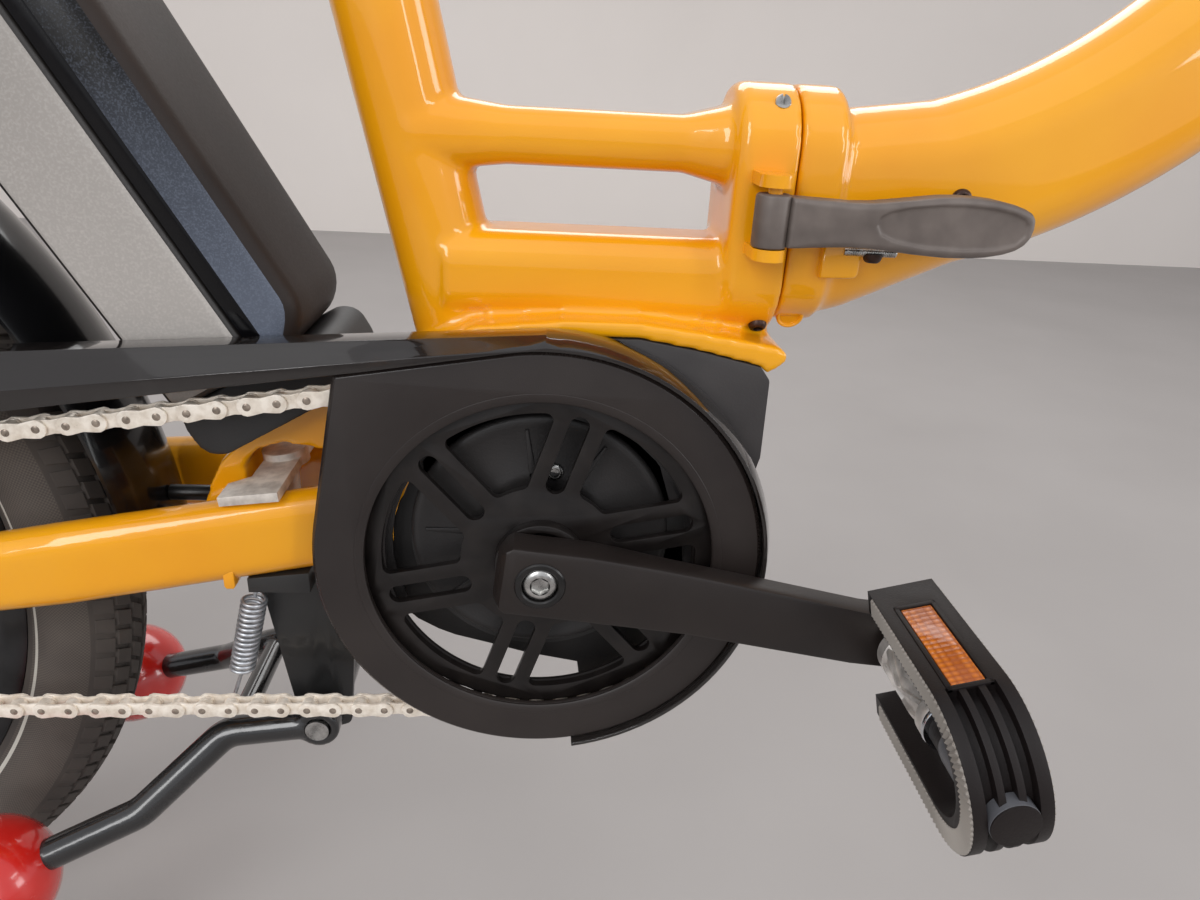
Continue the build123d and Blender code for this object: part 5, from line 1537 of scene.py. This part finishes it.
# Battery
# A long upright pack behind the seat tube. The rear shell is pale grey grained plastic, with
# painted shade that darkens it towards the top, and a gloss black band hides its joint. The front
# shell has dark sides, painted blue-grey towards the foot as a reflection, and a dark crowned face.
# The rear shell's first colour is painted shade, the grey it takes where it is darkened at the top.
shell_painted_shade = linear(126, 121, 116)
shell_light = linear(190, 184, 178)
band_color = linear(8, 8, 10)
side_dark = linear(10, 9, 10)
# Painted reflection: the blue-grey that the dark sides take towards the foot.
side_painted_reflection = linear(116, 124, 140)
face_dark = linear(36, 30, 28)
face_light = linear(48, 41, 38)
speck_size = 0.0011
fleck_size = 0.0007
battery_lean = math.radians(30.0)
battery_foot_x = -162.2
battery_foot_z = 62.5
battery_length = 335.0
battery_half = 41.0
front_joint = 53.9
front_reach = 76.0
low_corner = 21.0
top_corner = 9.0
edge_round = 9.0
face_crown = 1.6
crown_lines = [-20.0, -8.0, 0.0, 8.0, 20.0]


def speckled(name, low_color, high_color, rough, size, top, foot):
    """Plastic with fine metal flecks, with painted light and shade that run from low_color at top to
    high_color at foot.
    """
    material, shader, tree = finish(
        name, high_color, rough, 0.2, coat_weight=0.1, coat_roughness=0.15, specular_ior_level=0.3)
    place = place_in(tree)
    specks = grain(place, size, 1.0)
    clouds = grain(place, 0.08)
    # Painted light and shade: the colour runs from low_color at the top to high_color at the foot.
    painted_light_fade = coordinate(place, "Z").ramp(top, foot)
    share = painted_light_fade * 0.8 + clouds * 0.15 + specks.ramp(0.45, 0.75) * 0.18
    feed(shader, "Base Color", between(share.ramp(0.1, 1.0), low_color, high_color))
    feed(shader, "Roughness", specks.ramp(0.3, 0.7, rough - 0.08, rough + 0.1))
    bumped(shader, specks, 0.00003)
    return material


# Heights between which the painted shade at the top turns into painted light at the foot.
painted_shade_top = crank_z + 0.21
painted_light_foot = crank_z + 0.07
# The rear shell: pale grey, with painted shade towards the top.
shell_finish = speckled(
    "battery_shell_painted_shade", shell_painted_shade, shell_light, rough=0.5, size=speck_size, top=painted_shade_top + 0.10,
    foot=painted_light_foot)
# The sides: near-black, with a painted blue-grey reflection that grows towards the foot.
side_finish = speckled(
    "battery_side_painted_reflection", side_dark, side_painted_reflection, rough=0.36, size=fleck_size, top=painted_shade_top, foot=painted_light_foot)
band_finish = moulded(
    "battery_gloss", band_color, linear(13, 12, 14), rough=0.16, grain_size=0.004,
    grain_height=0.00001, shine=0.25)
face_finish = moulded(
    "battery_face", face_dark, face_light, rough=0.5, grain_size=0.0012, grain_height=0.00006,
    shine=0.2)
case_finish = moulded(
    "battery_case_edge", linear(26, 23, 22), linear(38, 34, 32), rough=0.4, grain_size=0.0012,
    grain_height=0.00006)

shell = add_piece(
    "battery_rear_shell", bevelled(["battery_case"], width=0.0042, segments=4), "rear_frame",
    [shell_finish, case_finish], smooth=40.0)
second_finish(shell, -1.0, 0.9)
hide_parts("battery_case")
band = add_piece(
    "battery_joint_band", bevelled(["battery_band"], width=0.0008), "rear_frame",
    [band_finish])
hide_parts("battery_band")


def front_outline(reach):
    """The front shell in side view, out to reach: (across, along) from the rear low corner."""
    points = [(front_joint, 0.0)]
    for step in range(9):
        angle = math.pi / 2 * step / 8
        points.append((
            reach - low_corner + low_corner * math.sin(angle),
            low_corner - low_corner * math.cos(angle)))
    for step in range(5):
        angle = math.pi / 2 * step / 4
        points.append((
            reach - top_corner + top_corner * math.cos(angle),
            battery_length - top_corner + top_corner * math.sin(angle)))
    points.append((front_joint, battery_length))
    return points


rounding = [-battery_half + edge_round * (1 - math.cos(math.pi / 2 * step / 6)) for step in range(7)]
layers = []
for y in rounding + crown_lines + [-y for y in reversed(rounding)]:
    over = max(abs(y) - (battery_half - edge_round), 0.0)
    rounded = edge_round - math.sqrt(max(edge_round ** 2 - over ** 2, 0.0))
    drop = rounded + face_crown * (y / battery_half) ** 2
    layer = []
    for across, along in front_outline(front_reach):
        pull = max(across - front_joint, 0.0) / (front_reach - front_joint)
        low_pull = max(1.0 - along / low_corner, 0.0)
        across -= drop * min(pull * 1.6, 1.0)
        along += drop * low_pull * pull
        layer.append(at(
            battery_foot_x + across * math.cos(battery_lean) - along * math.sin(battery_lean), y,
            battery_foot_z + across * math.sin(battery_lean) + along * math.cos(battery_lean)))
    layers.append(layer)
front_shell = add_piece(
    "battery_front_shell", lofted(layers), "rear_frame",
    [face_finish, side_finish], smooth=40.0)
# The sides take the finish with the painted blue-grey reflection.
second_finish(front_shell, 0.85, 2.0)
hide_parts("battery_front")


# Battery dock
# A moulded black shoe, rounded below, that the battery slides down onto. It sits on the yoke of
# the frame.
dock_finish = moulded(
    "dock_grain", linear(28, 27, 28), linear(40, 39, 39), rough=0.5, grain_size=0.0008,
    grain_height=0.00005)
dock = add_piece(
    "battery_shoe", welded(["battery_dock"], voxel=0.0012, rounds=10), "rear_frame",
    [dock_finish], smooth=60.0)
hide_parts("battery_dock")


# Stand bracket and clamp plate
# A pressed black steel bracket under the stays and a cast, machined aluminium plate on top of
# them. One long bolt pulls the two together over the stays.
bracket_finish = moulded(
    "bracket_coat", linear(24, 24, 24), linear(38, 37, 36), rough=0.42, grain_size=0.001,
    grain_height=0.00003, coat=0.2)
bracket = add_piece(
    "bracket_pressed", bevelled(["stand_bracket"], width=0.0012), "rear_frame",
    [bracket_finish])
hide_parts("stand_bracket")
cast_finish = metal(
    "clamp_cast", linear(188, 179, 170), linear(230, 221, 210), rough=(0.36, 0.52), metallic=0.3,
    spot=0.007, scratch=0.0001)
plate = add_piece(
    "clamp_plate_cast", bevelled(["stand_clamp"], width=0.0009, segments=3), "rear_frame",
    [cast_finish])
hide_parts("stand_clamp")


# Tabs under the stays
# Small aluminium stops, welded under each chainstay and painted with the frame, that keep the
# stand's bracket from twisting.
tab_y = 46.0
tab_half_width = 4.0
tab_table = [
    # x, height of the underside of the stay, drop
    (-145.0, -15.0, 6.5),
    (-100.0, -10.0, 5.5),
]
tab_meshes = []
for side in (-1, 1):
    for x, z, drop in tab_table:
        tab_meshes.append(outline_slab([
            (x - 2.6, z + 3.0), (x + 2.6, z + 3.0), (x + 2.6, z - drop + 1.4), (x + 1.6, z - drop),
            (x - 1.6, z - drop), (x - 2.6, z - drop + 1.4)],
            side * tab_y - tab_half_width, side * tab_y + tab_half_width, rim=0.6))
add_piece("stay_tabs", gathered(tab_meshes), "rear_frame", [frame_finish])


# Stand
# A double-leg stand of bent black steel tube on a cross sleeve, with round glossy red rubber
# feet, drawn up by a zinc-plated coil spring.
leg_finish = moulded(
    "leg_gloss", linear(20, 20, 21), linear(32, 31, 31), rough=0.24, grain_size=0.003,
    grain_height=0.00002, coat=0.7)
red_finish = moulded(
    "red_rubber_gloss", linear(186, 22, 16), linear(214, 34, 24), rough=0.22, grain_size=0.005,
    grain_height=0.00002, coat=0.8)
zinc_finish = metal(
    "zinc_wire", linear(176, 178, 182), linear(214, 216, 220), rough=(0.3, 0.44), metallic=0.8,
    spot=0.004)
legs = add_piece(
    "legs_bent", welded(["stand_legs"], voxel=0.0013, rounds=4), "stand",
    [leg_finish], smooth=60.0)
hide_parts("stand_legs")
carry_over("stand_axle", bright_steel)

foot_radius = 32.0
foot_steps = 32
feet_low, feet_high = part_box("stand_feet")
foot_x = ((feet_low.x + feet_high.x) / 2 - crank_x) / mm
foot_z = ((feet_low.z + feet_high.z) / 2 - crank_z) / mm
foot_y = feet_high.y / mm - foot_radius
foot_section = [(0, -foot_radius)]
for step in range(1, foot_steps):
    angle = math.pi * step / foot_steps
    foot_section.append((foot_radius * math.sin(angle), -foot_radius * math.cos(angle)))
foot_section.append((0, foot_radius))
foot_meshes = []
for sign in (-1, 1):
    foot_place = at(foot_x, sign * foot_y, foot_z)
    foot_meshes.append(turned(foot_section, foot_place, (0, sign, 0), steps=64))
feet = add_piece(
    "feet_round", gathered(foot_meshes), "stand", [red_finish], smooth=60.0)
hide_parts("stand_feet")

spring_top = (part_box("stand_spring")[1].z - crank_z) / mm
coil_high = at(-138.0, -38.0, spring_top - 4.0)
coil_low = at(-150.0, -38.0, spring_top - 52.0)
spring_hook = at(-160.0, -38.0, -107.0)
spring_eye = at(-137.0, -38.0, spring_top)
coil_turns = 15
coil_radius = 5.6
steps_a_turn = 12
wire_radius = 0.95
coil = bpy.data.curves.new("spring_coil", "CURVE")
coil.dimensions = "3D"
coil.bevel_depth = wire_radius * mm
coil.bevel_resolution = 3
coil.resolution_u = 3
coil.use_fill_caps = True
line = coil.splines.new("NURBS")
coil_side = Vector((0, 1, 0))
coil_front = (coil_high - coil_low).normalized().cross(coil_side)
coil_steps = coil_turns * steps_a_turn
line.points.add(coil_steps)
for step, point in enumerate(line.points):
    angle = 2 * math.pi * step / steps_a_turn
    middle = coil_low.lerp(coil_high, 0.06 + 0.88 * step / coil_steps)
    place = middle + (coil_side * math.cos(angle) + coil_front * math.sin(angle)) * coil_radius * mm
    point.co = (place.x, place.y, place.z, 1.0)
line.order_u = 4
line.use_endpoint_u = True
spring_meshes = [baked(in_scene("spring_coil", coil))]
for start, end in ((coil_low, spring_hook), (coil_high, spring_eye)):
    length = (end - start).length / mm
    spring_meshes.append(turned([
        (0, -2.0), (wire_radius, -2.0), (wire_radius, length), (0, length)],
        start, end - start, steps=12))
spring = add_piece(
    "return_spring", gathered(spring_meshes), "rear_frame", [zinc_finish], smooth=60.0)
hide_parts("stand_spring")

low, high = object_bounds()
